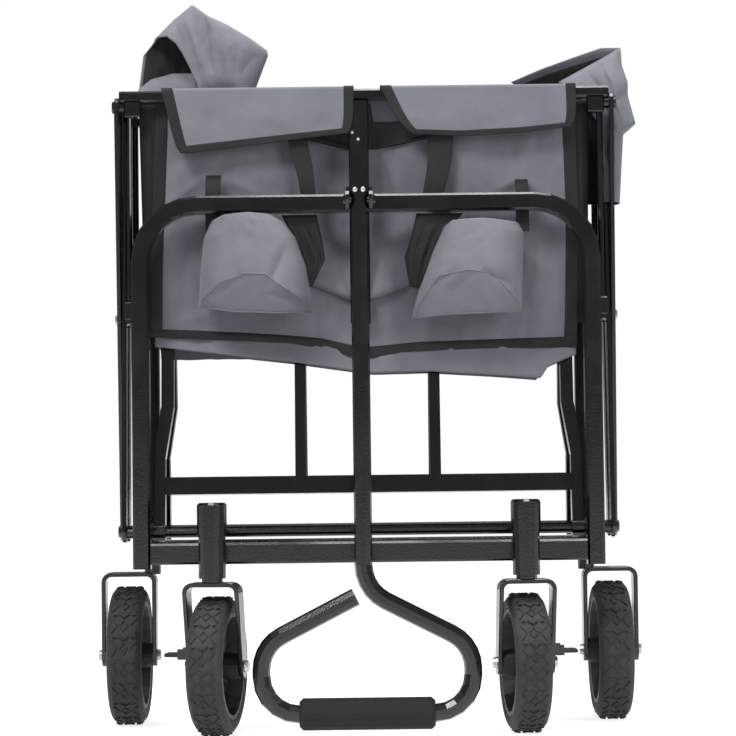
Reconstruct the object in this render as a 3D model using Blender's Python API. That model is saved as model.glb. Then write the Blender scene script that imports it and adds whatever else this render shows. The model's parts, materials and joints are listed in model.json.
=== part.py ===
"""Folding wagon, folded: two hoop frames on wheels, joined by a double scissor linkage.

Metres, +Z up, the front faces -Y, z = 0 is the ground. The code measures y from the line of
the front frame's scissor pivots, and make_object moves every piece by DEPTH_CENTRE so that the
origin lies under the middle of the wagon. The rear half mirrors the front half.
"""
import math

import bmesh
import bpy
from mathutils import Matrix, Vector

# Touching pieces keep GAP, turning pieces keep RUNNING, welded shapes sink in by WELD
GAP = 0.0003
RUNNING = 0.0003
WELD = 0.001

SIDES = (("left", -1), ("right", 1))

# Linkage: pivot height, bar length between end pivots, lean when folded, half width, thickness
PIVOT_Z = 0.229
LINK_LENGTH = 0.4936
FOLD_LEAN = math.radians(4.2)
LINK_END_RADIUS = 0.0112
LINK_THICKNESS = 0.005
LAYER_GAP = 0.0006
LINK_EDGE = 0.0008
LINK_END_STEPS = 6
PIN_RADIUS = 0.004
PIN_HEAD_RADIUS = 0.007
PIN_HEAD_HEIGHT = 0.0027
CROSS_TUBE_RADIUS = 0.0065
CROSS_CAP_RADIUS = 0.0085
TUBE_SIDES = 14
PIN_SIDES = 10

# Hoops of square tube
TUBE = 0.020
HOOP_HALF_SPACING = 0.2585
HOOP_TOP_Z = 0.6035
HOOP_BOTTOM_Z = 0.188
HOOP_CORNER_RADIUS = 0.065
HOOP_SETBACK = 0.024
TUBE_EDGE = 0.0025
CROSS_BAR_Z = 0.205
CROSS_BAR_HEIGHT = 0.024
ROD_RADIUS = 0.0038
ROD_CLEAR_OF_HOOP = 0.0008
ROD_TO_BAR = 0.0015
ROD_BOTTOM_Z = 0.470
GUIDE_BOTTOM_Z = 0.474
GUIDE_HEIGHT = 0.020
GUIDE_WALL_BEHIND = 0.004
LUG_INNER_OFFSET = 0.004
LUG_THICKNESS = 0.006
LUG_RADIUS = 0.0115

# Top rails
RAIL_HEIGHT = 0.013
RAIL_DEPTH = 0.016
RAIL_ABOVE_PIVOT = 0.0117
RAIL_END_CLEARANCE = 0.0005
FITTING_HEIGHT = 0.018
POST_WIDTH = 0.023
POST_DEPTH = 0.007
POST_LENGTH = 0.260
POST_EDGE = 0.0012

# Floor frames
FLOOR_LEAN = math.radians(6)
FLOOR_REACH = 0.226
FLOOR_LEG_WIDTH = 0.0145
FLOOR_LEG_DEPTH = 0.016
FLOOR_LEG_TO_HOOP = 0.00025
FLOOR_LEG_JOG = 0.0096
FLOOR_LEG_JOG_START = 0.085
FLOOR_LEG_JOG_END = 0.145
FLOOR_EYE_RADIUS = 0.0108
FLOOR_BAR_REACH = 0.0528
FLOOR_BAR_HEIGHT = 0.020
FLOOR_BAR_DEPTH = 0.012
FLOOR_UPRIGHT_X = 0.0778
FLOOR_UPRIGHT_WIDTH = 0.0126
FLOOR_TIP_HEIGHT = 0.014

# Wheels
WHEEL_RADIUS = 0.078
REAR_WHEEL_RADIUS = 0.081
TYRE_WIDTH = 0.041
TYRE_THICKNESS = 0.017
TREAD_DEPTH = 0.0016
TREAD_PITCHES = 14
TREAD_FLAT_SHARE = 0.58
HUB_WIDTH = 0.038
HUB_BOSS_RADIUS = 0.014
HUB_BOSS_TO_FORK = 0.0008
HUB_WEB = 0.007
HUB_RIM_WALL = 0.005
HUB_WINDOWS = 5
HUB_WINDOW_RADIUS = 0.010
HUB_SIDES = 20
AXLE_RADIUS = 0.004
AXLE_HEAD_RADIUS = 0.007
AXLE_HEAD_HEIGHT = 0.004

# Forks and casters
FORK_STRAP = 0.005
FORK_DEPTH = 0.026
FORK_INNER = 0.0275
FORK_TOP_Z = 0.1735
REAR_FORK_TOP_Z = 0.1795
FORK_CORNER_RADIUS = 0.009
FORK_EYE_RADIUS = 0.0135
CASTER_INSET = 0.0815
CASTER_TRAIL = 0.020
CASTER_TURN = {"left": math.radians(-9), "right": math.radians(5)}
SOCKET_RADIUS = 0.0155
SOCKET_CAP_RADIUS = 0.017
SOCKET_BOTTOM_Z = 0.178
SOCKET_STEP_Z = 0.227
SOCKET_TOP_Z = 0.263
SOCKET_BORE_TOP_Z = 0.250
STEM_RADIUS = 0.0055
STEM_COLLAR_RADIUS = 0.012
REAR_WHEEL_OUTSET = 0.0275
REAR_POST_RADIUS = 0.0098

# Brake levers on the outer side of the front forks
LEVER_PIVOT_Z = 0.092
LEVER_PIVOT_OUT = 0.0068
LEVER_BARREL_RADIUS = 0.0036
LEVER_WIDTH = 0.022
LEVER_REACH = 0.020
LEVER_THICKNESS = 0.0045
LEVER_PIN_RADIUS = 0.0016
EAR_THICKNESS = 0.003

# Pull handle
HANDLE_X = -0.0065
HANDLE_STANDOFF = 0.053
HANDLE_PIVOT_BELOW_HOOP = 0.0035
HANDLE_TUBE_RADIUS = 0.010
HANDLE_TOP_OVER_PIVOT = 0.0095
GRIP_Z = 0.0283
GRIP_LEFT_X = -0.0792
GRIP_RIGHT_X = 0.0714
GRIP_RADIUS = 0.0178
LOOP_LEFT_X = -0.1211
LOOP_RIGHT_X = 0.1139
LOOP_SHOULDER_Z = 0.1036
LOOP_RISE = 0.0614
LOOP_BEND_RADIUS = 0.042
SHAFT_BEND_RADIUS = 0.045
LOOP_OPEN_END_X = -0.0156
BRACKET_EAR_THICKNESS = 0.0038
BRACKET_EAR_GAP = 0.0227
BRACKET_BELOW_PIVOT = 0.002
BRACKET_ABOVE_PIVOT = 0.020
BRACKET_PLATE = 0.003

# Bag
CLOTH = 0.004
PANEL_HALF_WIDTH = 0.246
PANEL_EDGE_Z = 0.452
PANEL_DIP = 0.022
PANEL_RECESS = 0.012
RECESS_HALF_WIDTH = 0.055
RECESS_BOTTOM_Z = 0.505
RECESS_TOP_Z = 0.725
FLAP_SPANS = ((-0.240, -0.016), (0.015, 0.243))
FLAP_BOTTOM_Z = 0.668
FLAP_CLOTH = 0.0038
POUCH_BELOW_HOOP = 0.0108
POUCH_DEPTH = 0.1107
POUCH_BULGE = 0.046
POUCH_CLOTH = 0.003
POUCH_BACK = 0.0015
POUCH_SIDES = 12
POUCH_BOTTOM_TUCK = 0.008
TAB_WIDTH = 0.0145
TAB_OFFSET = 0.0405
TAB_CLOTH = 0.003
TAB_LAP = 0.010
WALL_PLEAT_DEPTH = 0.034
WALL_BOTTOM_Z = 0.470
WALL_TOP_Z = 0.700
WALL_TO_EDGE = 0.003
WALL_CREASE_LEFT = 0.014
WALL_PLEATS = 3
FLOOR_CLOTH_Z = 0.462
FLOOR_CLOTH_HALF_WIDTH = 0.200
BULGE_CLOTH = 0.005

# Pouches: centre and half width at the top, then at the bottom
LEFT_POUCH = (-0.132, 0.047, -0.127, 0.064)
RIGHT_POUCH = (0.1345, 0.0445, 0.113, 0.0615)

# Bulges of the side walls: out from the bars' outer face, up from the rail pivot, corner radius
LEFT_BULGE = (
    (-0.0270, -0.0063, 0), (-0.0235, 0.0647, 0.008), (-0.0440, 0.0817, 0.010),
    (-0.0880, 0.1192, 0.012), (-0.1240, 0.0967, 0.012), (-0.1720, 0.0727, 0.015),
    (-0.1630, -0.0063, 0),
)
RIGHT_BULGE = (
    (-0.1210, -0.0063, 0), (-0.1090, 0.0387, 0.020), (-0.0440, 0.0557, 0.020),
    (0.0040, 0.0677, 0.012), (0.0110, 0.0237, 0.020), (0.0205, -0.0243, 0.010),
    (0.0100, -0.0493, 0.010), (0.0095, -0.1143, 0),
)

HOOP_Y = -HOOP_SETBACK
HOOP_BACK_Y = HOOP_Y + TUBE / 2
HOOP_FRONT_Y = HOOP_Y - TUBE / 2
HOOP_OUTER_X = HOOP_HALF_SPACING + TUBE / 2
MIDDLE_Y = LINK_LENGTH * math.sin(FOLD_LEAN)
REAR_Y = 2 * MIDDLE_Y
RAIL_PIVOT_Z = PIVOT_Z + LINK_LENGTH * math.cos(FOLD_LEAN)
RAIL_Z = RAIL_PIVOT_Z + RAIL_ABOVE_PIVOT
ROD_X = HOOP_OUTER_X + ROD_CLEAR_OF_HOOP + ROD_RADIUS
INNER_LAYER_X = ROD_X + ROD_RADIUS + ROD_TO_BAR
OUTER_LAYER_X = INNER_LAYER_X + LINK_THICKNESS + LAYER_GAP
OUTER_LAYER_END_X = OUTER_LAYER_X + LINK_THICKNESS
FLOOR_LEG_FOOT_X = HOOP_HALF_SPACING - TUBE / 2 - FLOOR_LEG_TO_HOOP - FLOOR_LEG_WIDTH / 2
FLOOR_LEG_TOP_X = FLOOR_LEG_FOOT_X - FLOOR_LEG_JOG
CASTER_X = HOOP_HALF_SPACING - CASTER_INSET
CASTER_Y = HOOP_FRONT_Y - SOCKET_CAP_RADIUS - GAP
FORK_OUTER = FORK_INNER + FORK_STRAP
HUB_BOSS_WIDTH = 2 * (FORK_INNER - HUB_BOSS_TO_FORK)
REAR_WHEEL_X = HOOP_HALF_SPACING + REAR_WHEEL_OUTSET
HANDLE_Y = HOOP_FRONT_Y - HANDLE_STANDOFF
HANDLE_PIVOT_Z = HOOP_TOP_Z - HANDLE_PIVOT_BELOW_HOOP
BRACKET_BOTTOM_Z = HANDLE_PIVOT_Z - BRACKET_BELOW_PIVOT
BRACKET_TOP_Z = HANDLE_PIVOT_Z + BRACKET_ABOVE_PIVOT
POUCH_TOP_Z = HOOP_TOP_Z - POUCH_BELOW_HOOP
POUCH_BOTTOM_Z = POUCH_TOP_Z - POUCH_DEPTH
RAIL_FRONT_Y = -RAIL_DEPTH / 2
RAIL_BACK_Y = RAIL_DEPTH / 2
RAIL_TOP_Z = RAIL_Z + RAIL_HEIGHT / 2
PANEL_Y = RAIL_BACK_Y + GAP
PANEL_BACK_Y = PANEL_Y + CLOTH


def caster_front(turn):
    """Depth of the tread's foremost point on a caster turned by the given angle."""
    tread = WHEEL_RADIUS * math.cos(turn)
    tread += TREAD_FLAT_SHARE * TYRE_WIDTH / 2 * abs(math.sin(turn))
    return CASTER_Y + CASTER_TRAIL * math.cos(turn) - tread


FRONT_END_Y = min(caster_front(turn) for turn in CASTER_TURN.values())
REAR_END_Y = REAR_Y + HOOP_SETBACK + REAR_WHEEL_RADIUS
DEPTH_CENTRE = (FRONT_END_Y + REAR_END_Y) / 2


def clear_scene():
    for thing in list(bpy.data.objects):
        bpy.data.objects.remove(thing, do_unlink=True)


def make_material(name, colour, roughness, metallic=0.0):
    material = bpy.data.materials.new(name)
    material.use_nodes = True
    shader = material.node_tree.nodes["Principled BSDF"]
    shader.inputs["Base Color"].default_value = (*colour, 1.0)
    shader.inputs["Roughness"].default_value = roughness
    shader.inputs["Metallic"].default_value = metallic
    return material


MATERIALS = {
    "gloss_black_steel": ((0.012, 0.012, 0.014), 0.28, 0.0),
    "bright_steel": ((0.62, 0.63, 0.65), 0.25, 1.0),
    "black_plastic": ((0.018, 0.018, 0.020), 0.45, 0.0),
    "hub_plastic": ((0.030, 0.030, 0.033), 0.40, 0.0),
    "tyre_rubber": ((0.022, 0.022, 0.024), 0.75, 0.0),
    "foam": ((0.015, 0.015, 0.016), 0.90, 0.0),
    "grey_cloth": ((0.20, 0.205, 0.24), 0.85, 0.0),
}


def make_object(name, bm, material, origin=(0, 0, 0), smooth=False, turn=None):
    """Turn a bmesh into an object whose origin is at the given point, both before the shift."""
    if turn is not None:
        bm.transform(turn)
        origin = turn @ Vector(origin)
    bmesh.ops.recalc_face_normals(bm, faces=bm.faces)
    if bm.calc_volume(signed=True) < 0:
        bmesh.ops.reverse_faces(bm, faces=bm.faces)
    bm.transform(Matrix.Translation(-Vector(origin)))
    mesh = bpy.data.meshes.new(name)
    bm.to_mesh(mesh)
    bm.free()
    if smooth:
        mesh.shade_smooth()
        mesh.set_sharp_from_angle(angle=math.radians(35))
    shape = bpy.data.objects.new(name, mesh)
    shape.location = Vector(origin) - Vector((0, DEPTH_CENTRE, 0))
    bpy.context.collection.objects.link(shape)
    material_data = bpy.data.materials.get(material)
    if material_data is None:
        material_data = make_material(material, *MATERIALS[material])
    mesh.materials.clear()
    mesh.materials.append(material_data)
    return shape


def combine(base, tools, operation):
    """Union or difference of solids with the exact solver; returns one bmesh."""
    def temporary(bm):
        bmesh.ops.recalc_face_normals(bm, faces=bm.faces)
        mesh = bpy.data.meshes.new("tool")
        bm.to_mesh(mesh)
        bm.free()
        shape = bpy.data.objects.new("tool", mesh)
        bpy.context.collection.objects.link(shape)
        return shape

    body = temporary(base)
    made = [body]
    for tool in tools:
        cutter = temporary(tool)
        made.append(cutter)
        modifier = body.modifiers.new("cut", "BOOLEAN")
        modifier.operation = operation
        modifier.solver = "EXACT"
        modifier.object = cutter
    bpy.context.view_layer.update()
    evaluated = body.evaluated_get(bpy.context.evaluated_depsgraph_get())
    result = bmesh.new()
    result.from_mesh(evaluated.to_mesh())
    evaluated.to_mesh_clear()
    for shape in made:
        mesh = shape.data
        bpy.data.objects.remove(shape, do_unlink=True)
        bpy.data.meshes.remove(mesh)
    bmesh.ops.dissolve_degenerate(result, dist=0.000001, edges=result.edges)
    return result


def union(base, *tools):
    return combine(base, tools, "UNION")


def difference(base, *tools):
    return combine(base, tools, "DIFFERENCE")


def box(low, high, edge=0.0):
    """A box between two corners, its edges bevelled by the given width."""
    low, high = Vector(low), Vector(high)
    bm = bmesh.new()
    bmesh.ops.create_cube(bm, size=1.0)
    size = high - low
    bmesh.ops.scale(bm, vec=size, verts=bm.verts)
    bmesh.ops.translate(bm, vec=(low + high) / 2, verts=bm.verts)
    if edge:
        bmesh.ops.bevel(
            bm, geom=list(bm.edges), offset=edge, segments=1, affect="EDGES", profile=0.5
        )
    return bm


def loft(rings, cap=True):
    """Skin closed rings of equal point counts and cap both ends."""
    bm = bmesh.new()
    rows = [[bm.verts.new(point) for point in ring] for ring in rings]
    count = len(rows[0])
    for below, above in zip(rows, rows[1:]):
        for i in range(count):
            j = (i + 1) % count
            bm.faces.new((below[i], below[j], above[j], above[i]))
    if cap:
        bm.faces.new(rows[0][::-1])
        bm.faces.new(rows[-1])
    return bm


def axis_frame(axis):
    """Two directions square to an axis given as a letter, in right-hand order."""
    return {
        "x": (Vector((1, 0, 0)), Vector((0, 1, 0)), Vector((0, 0, 1))),
        "y": (Vector((0, 1, 0)), Vector((0, 0, 1)), Vector((1, 0, 0))),
        "z": (Vector((0, 0, 1)), Vector((1, 0, 0)), Vector((0, 1, 0))),
    }[axis]


def turned(profile, axis, centre, sides, closed=False):
    """Revolve (distance along axis, radius) pairs; closed joins the last pair to the first."""
    along, first, second = axis_frame(axis)
    centre = Vector(centre)
    bm = bmesh.new()
    rows = []
    for distance, radius in profile:
        row = []
        for i in range(sides):
            angle = 2 * math.pi * (i + 0.5) / sides
            spoke = first * math.cos(angle) + second * math.sin(angle)
            row.append(bm.verts.new(centre + along * distance + spoke * radius))
        rows.append(row)
    pairs = list(zip(rows, rows[1:]))
    if closed:
        pairs.append((rows[-1], rows[0]))
    for below, above in pairs:
        for i in range(sides):
            j = (i + 1) % sides
            bm.faces.new((below[i], below[j], above[j], above[i]))
    if not closed:
        bm.faces.new(rows[0][::-1])
        bm.faces.new(rows[-1])
    bmesh.ops.recalc_face_normals(bm, faces=bm.faces)
    return bm


def rod(axis, start, length, radius, sides=12):
    return turned(((0, radius), (length, radius)), axis, start, sides)


def rounded(corners, steps=6):
    """Points along a polyline whose inner corners, given as (point, radius), are arcs."""
    points = [Vector(corners[0][0])]
    for (before, _), (corner, radius), (after, _) in zip(corners, corners[1:], corners[2:]):
        corner = Vector(corner)
        if not radius:
            points.append(corner)
            continue
        arriving = (Vector(before) - corner).normalized()
        leaving = (Vector(after) - corner).normalized()
        half = arriving.angle(leaving) / 2
        reach = radius / math.tan(half)
        centre = corner + (arriving + leaving).normalized() * (radius / math.sin(half))
        begin = corner + arriving * reach - centre
        end = corner + leaving * reach - centre
        sweep = begin.angle(end)
        square = (end - begin * math.cos(sweep)) / math.sin(sweep)
        for i in range(steps + 1):
            angle = sweep * i / steps
            points.append(centre + begin * math.cos(angle) + square * math.sin(angle))
    points.append(Vector(corners[-1][0]))
    return points


def swept(path, profile, side=Vector((0, 1, 0))):
    """Sweep a closed profile of (across, along side) pairs down a path square to side."""
    rings = []
    for i, point in enumerate(path):
        before = path[max(i - 1, 0)]
        after = path[min(i + 1, len(path) - 1)]
        forward = after - before
        forward -= side * forward.dot(side)
        forward.normalize()
        across = side.cross(forward)
        stretch = 1.0
        if 0 < i < len(path) - 1:
            arriving = point - before
            arriving -= side * arriving.dot(side)
            turn = arriving.angle(forward)
            stretch = 1 / math.cos(turn)
        rings.append([point + across * (a * stretch) + side * b for a, b in profile])
    return loft(rings)


def rectangle_profile(width, depth, edge):
    """Corners of a rectangle, each cut off by edge."""
    half_width, half_depth = width / 2, depth / 2
    points = []
    for sign_a, sign_b in ((1, 1), (-1, 1), (-1, -1), (1, -1)):
        long_cut = (sign_a * half_width, sign_b * (half_depth - edge))
        short_cut = (sign_a * (half_width - edge), sign_b * half_depth)
        points += (long_cut, short_cut) if sign_a * sign_b > 0 else (short_cut, long_cut)
    return points


def round_profile(radius, sides):
    return [
        (radius * math.cos(2 * math.pi * i / sides), radius * math.sin(2 * math.pi * i / sides))
        for i in range(sides)
    ]


def from_front(y, rear):
    """Depth of a front-half point, or of its mirror in the rear half."""
    return REAR_Y - y if rear else y


def box_in_half(x_range, y_range, z_range, rear=False, edge=0.0):
    ys = sorted(from_front(y, rear) for y in y_range)
    xs = sorted(x_range)
    return box((xs[0], ys[0], z_range[0]), (xs[1], ys[1], z_range[1]), edge)


def pin_outwards(sign, start_x, end_x, y, z, radius, sides=12):
    """A round bar along X from start_x to end_x on the side given by sign."""
    low = min(sign * start_x, sign * end_x)
    return rod("x", (low, y, z), abs(end_x - start_x), radius, sides)


def hoop(name, rear):
    y = from_front(HOOP_Y, rear)
    path = rounded(
        [
            ((-HOOP_HALF_SPACING, y, HOOP_BOTTOM_Z), 0),
            ((-HOOP_HALF_SPACING, y, HOOP_TOP_Z), HOOP_CORNER_RADIUS),
            ((HOOP_HALF_SPACING, y, HOOP_TOP_Z), HOOP_CORNER_RADIUS),
            ((HOOP_HALF_SPACING, y, HOOP_BOTTOM_Z), 0),
        ],
        steps=6,
    )
    bm = swept(path, rectangle_profile(TUBE, TUBE, TUBE_EDGE))
    frame = union(bm, *pivot_lugs(rear), *rod_guides(rear))
    make_object(name, frame, "gloss_black_steel", origin=(0, y, HOOP_BOTTOM_Z), smooth=True)


def cross_bar(name, rear):
    half = HOOP_HALF_SPACING - TUBE / 2 - GAP
    y = from_front(HOOP_Y, rear)
    path = [Vector((-half, y, CROSS_BAR_Z)), Vector((half, y, CROSS_BAR_Z))]
    bm = swept(path, rectangle_profile(CROSS_BAR_HEIGHT, TUBE, TUBE_EDGE))
    if not rear:
        bm = union(bm, *caster_sockets())
    make_object(name, bm, "gloss_black_steel", origin=(0, y, CROSS_BAR_Z), smooth=True)


def pivot_lugs(rear):
    """Plates welded behind the uprights, bored for the tube that carries the lower pivots."""
    lugs = []
    y = from_front(0, rear)
    for sign in (-1, 1):
        inner = HOOP_HALF_SPACING - LUG_INNER_OFFSET
        outer = inner + LUG_THICKNESS
        plate = box_in_half(
            (sign * inner, sign * outer),
            (HOOP_BACK_Y - WELD, 0),
            (PIVOT_Z - LUG_RADIUS, PIVOT_Z + LUG_RADIUS),
            rear,
        )
        round_end = pin_outwards(sign, inner, outer, y, PIVOT_Z, LUG_RADIUS, 16)
        bore = pin_outwards(
            sign, inner - 0.01, outer + 0.01, y, PIVOT_Z, CROSS_TUBE_RADIUS + GAP, TUBE_SIDES
        )
        lugs.append(difference(union(plate, round_end), bore))
    return lugs


def cross_tube(name, y, reach, material="gloss_black_steel"):
    """Round tube along X with a cap at each end, its reach measured to the caps' inner faces."""
    cap = PIN_HEAD_HEIGHT
    r, c = CROSS_TUBE_RADIUS, CROSS_CAP_RADIUS
    profile = [
        (-reach - cap, c * 0.7), (-reach, c), (-reach, r), (reach, r), (reach, c),
        (reach + cap, c * 0.7),
    ]
    bm = turned(profile, "x", (0, y, PIVOT_Z), TUBE_SIDES)
    make_object(name, bm, material, origin=(0, y, PIVOT_Z), smooth=True)


def rod_guides(rear):
    """Blocks welded behind the uprights that guide the rods of the top rail."""
    guides = []
    y = from_front(0, rear)
    for sign in (-1, 1):
        inner = HOOP_HALF_SPACING
        outer = INNER_LAYER_X - GAP
        block = box_in_half(
            (sign * inner, sign * outer),
            (HOOP_BACK_Y - WELD, ROD_RADIUS + GUIDE_WALL_BEHIND),
            (GUIDE_BOTTOM_Z, GUIDE_BOTTOM_Z + GUIDE_HEIGHT),
            rear,
            edge=0.0012,
        )
        bore = rod(
            "z", (sign * ROD_X, y, GUIDE_BOTTOM_Z - 0.01), GUIDE_HEIGHT + 0.02,
            ROD_RADIUS + RUNNING, 12,
        )
        guides.append(difference(block, bore))
    return guides


def top_rail(name, rear):
    y = from_front(0, rear)
    half = (INNER_LAYER_X if rear else OUTER_LAYER_X) - RAIL_END_CLEARANCE
    path = [Vector((-half, y, RAIL_Z)), Vector((half, y, RAIL_Z))]
    bm = swept(path, rectangle_profile(RAIL_HEIGHT, RAIL_DEPTH, TUBE_EDGE))
    rail = union(bm, *rail_end_posts(rear))
    make_object(name, rail, "gloss_black_steel", origin=(0, y, RAIL_PIVOT_Z), smooth=True)


def rail_end_posts(rear):
    """At each rail end: a fitting with the scissor's upper pivot pin and the guide rod."""
    posts = []
    y = from_front(0, rear)
    top = RAIL_Z - RAIL_HEIGHT / 2 + WELD
    for sign in (-1, 1):
        fitting = box_in_half(
            (sign * HOOP_HALF_SPACING, sign * (INNER_LAYER_X - GAP)),
            (RAIL_FRONT_Y, RAIL_BACK_Y),
            (top - FITTING_HEIGHT, top),
            rear,
            edge=0.0012,
        )
        guide = rod(
            "z", (sign * ROD_X, y, ROD_BOTTOM_Z), top - 0.004 - ROD_BOTTOM_Z, ROD_RADIUS
        )
        if rear:
            bar_inner, bar_outer = INNER_LAYER_X, INNER_LAYER_X + LINK_THICKNESS
        else:
            bar_inner, bar_outer = OUTER_LAYER_X, OUTER_LAYER_END_X
        pin = pin_outwards(
            sign, INNER_LAYER_X - 0.004, bar_outer + GAP + PIN_HEAD_HEIGHT, y, RAIL_PIVOT_Z,
            PIN_RADIUS, 12,
        )
        head = pin_outwards(
            sign, bar_outer + GAP, bar_outer + GAP + PIN_HEAD_HEIGHT, y, RAIL_PIVOT_Z,
            PIN_HEAD_RADIUS, 12,
        )
        solids = [guide, pin, head]
        if not rear:
            solids.append(
                pin_outwards(
                    sign, INNER_LAYER_X - 0.002, bar_inner - GAP, y, RAIL_PIVOT_Z,
                    PIN_HEAD_RADIUS, 12,
                )
            )
        posts.append(union(fitting, *solids))
    return posts


def centre_post():
    """Flat post at the middle of the front rail that slides down behind the hoop."""
    top = RAIL_Z - RAIL_HEIGHT / 2 - GAP
    bm = box(
        (HANDLE_X - POST_WIDTH / 2, RAIL_FRONT_Y, top - POST_LENGTH),
        (HANDLE_X + POST_WIDTH / 2, RAIL_FRONT_Y + POST_DEPTH, top),
        POST_EDGE,
    )
    make_object("centre_post", bm, "gloss_black_steel", origin=(HANDLE_X, 0, top))


def link_bar(name, sign, start, end, layer_x, bores):
    """Flat bar with round ends from start to end in the YZ plane, bored for its pins."""
    start, end = Vector(start), Vector(end)
    along = (end - start).normalized()
    across = Vector((-along.y, along.x))
    middle = (start + end) / 2
    reach = (end - start).length / 2
    low = min(sign * layer_x, sign * (layer_x + LINK_THICKNESS))
    rings = []
    for depth, inset in (
        (0, LINK_EDGE), (LINK_EDGE, 0), (LINK_THICKNESS - LINK_EDGE, 0), (LINK_THICKNESS, LINK_EDGE)
    ):
        ring = []
        for direction in (-1, 1):
            for i in range(LINK_END_STEPS + 1):
                angle = math.pi * (i / LINK_END_STEPS - 0.5)
                radius = LINK_END_RADIUS - inset
                place = middle + along * (direction * (reach + radius * math.cos(angle)))
                place += across * (direction * radius * math.sin(angle))
                ring.append((low + depth, place.x, place.y))
        rings.append(ring)
    cuts = [
        rod("x", (low - 0.01, y, z), LINK_THICKNESS + 0.02, radius, TUBE_SIDES)
        for (y, z), radius in bores
    ]
    bar = difference(loft(rings), *cuts)
    (y, z), _ = bores[0]
    make_object(name, bar, "gloss_black_steel", origin=(0, y, z), smooth=True)


def linkage():
    """Double scissor: every bar turns by the fold angle, so the rear frame stays level."""
    front_low, middle_low, rear_low = (0, PIVOT_Z), (MIDDLE_Y, PIVOT_Z), (REAR_Y, PIVOT_Z)
    front_high, middle_high, rear_high = (
        (0, RAIL_PIVOT_Z), (MIDDLE_Y, RAIL_PIVOT_Z), (REAR_Y, RAIL_PIVOT_Z)
    )
    centre_z = (PIVOT_Z + RAIL_PIVOT_Z) / 2
    front_centre, rear_centre = (MIDDLE_Y / 2, centre_z), (MIDDLE_Y * 1.5, centre_z)
    pin = PIN_RADIUS + RUNNING
    tube = CROSS_TUBE_RADIUS + RUNNING
    for side, sign in SIDES:
        link_bar(
            f"front_rising_link_{side}", sign, front_low, middle_high, INNER_LAYER_X,
            ((front_low, tube), (front_centre, pin), (middle_high, pin)),
        )
        link_bar(
            f"front_falling_link_{side}", sign, front_high, middle_low, OUTER_LAYER_X,
            ((front_centre, pin), (front_high, pin), (middle_low, tube)),
        )
        link_bar(
            f"rear_falling_link_{side}", sign, middle_high, rear_low, OUTER_LAYER_X,
            ((middle_high, pin), (rear_centre, pin), (rear_low, tube)),
        )
        link_bar(
            f"rear_rising_link_{side}", sign, middle_low, rear_high, INNER_LAYER_X,
            ((rear_centre, pin), (middle_low, tube), (rear_high, pin)),
        )
        link_pin(f"middle_top_pin_{side}", sign, middle_high)
        link_pin(f"front_centre_pin_{side}", sign, front_centre)
        link_pin(f"rear_centre_pin_{side}", sign, rear_centre)
    cross_tube("middle_cross_tube", MIDDLE_Y, OUTER_LAYER_END_X + GAP)


def link_pin(name, sign, place):
    """Rivet through both layers of bars, with a head on each side."""
    grip = OUTER_LAYER_END_X - INNER_LAYER_X + 2 * GAP
    cap = PIN_HEAD_HEIGHT
    profile = [
        (0, PIN_HEAD_RADIUS * 0.7), (cap, PIN_HEAD_RADIUS), (cap, PIN_RADIUS),
        (cap + grip, PIN_RADIUS), (cap + grip, PIN_HEAD_RADIUS),
        (cap * 2 + grip, PIN_HEAD_RADIUS * 0.7),
    ]
    inner = INNER_LAYER_X - GAP - cap
    start = inner if sign > 0 else -(inner + 2 * cap + grip)
    y, z = place
    pin = turned(profile, "x", (start, y, z), PIN_SIDES)
    make_object(name, pin, "bright_steel", origin=(0, y, z), smooth=True)


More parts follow.
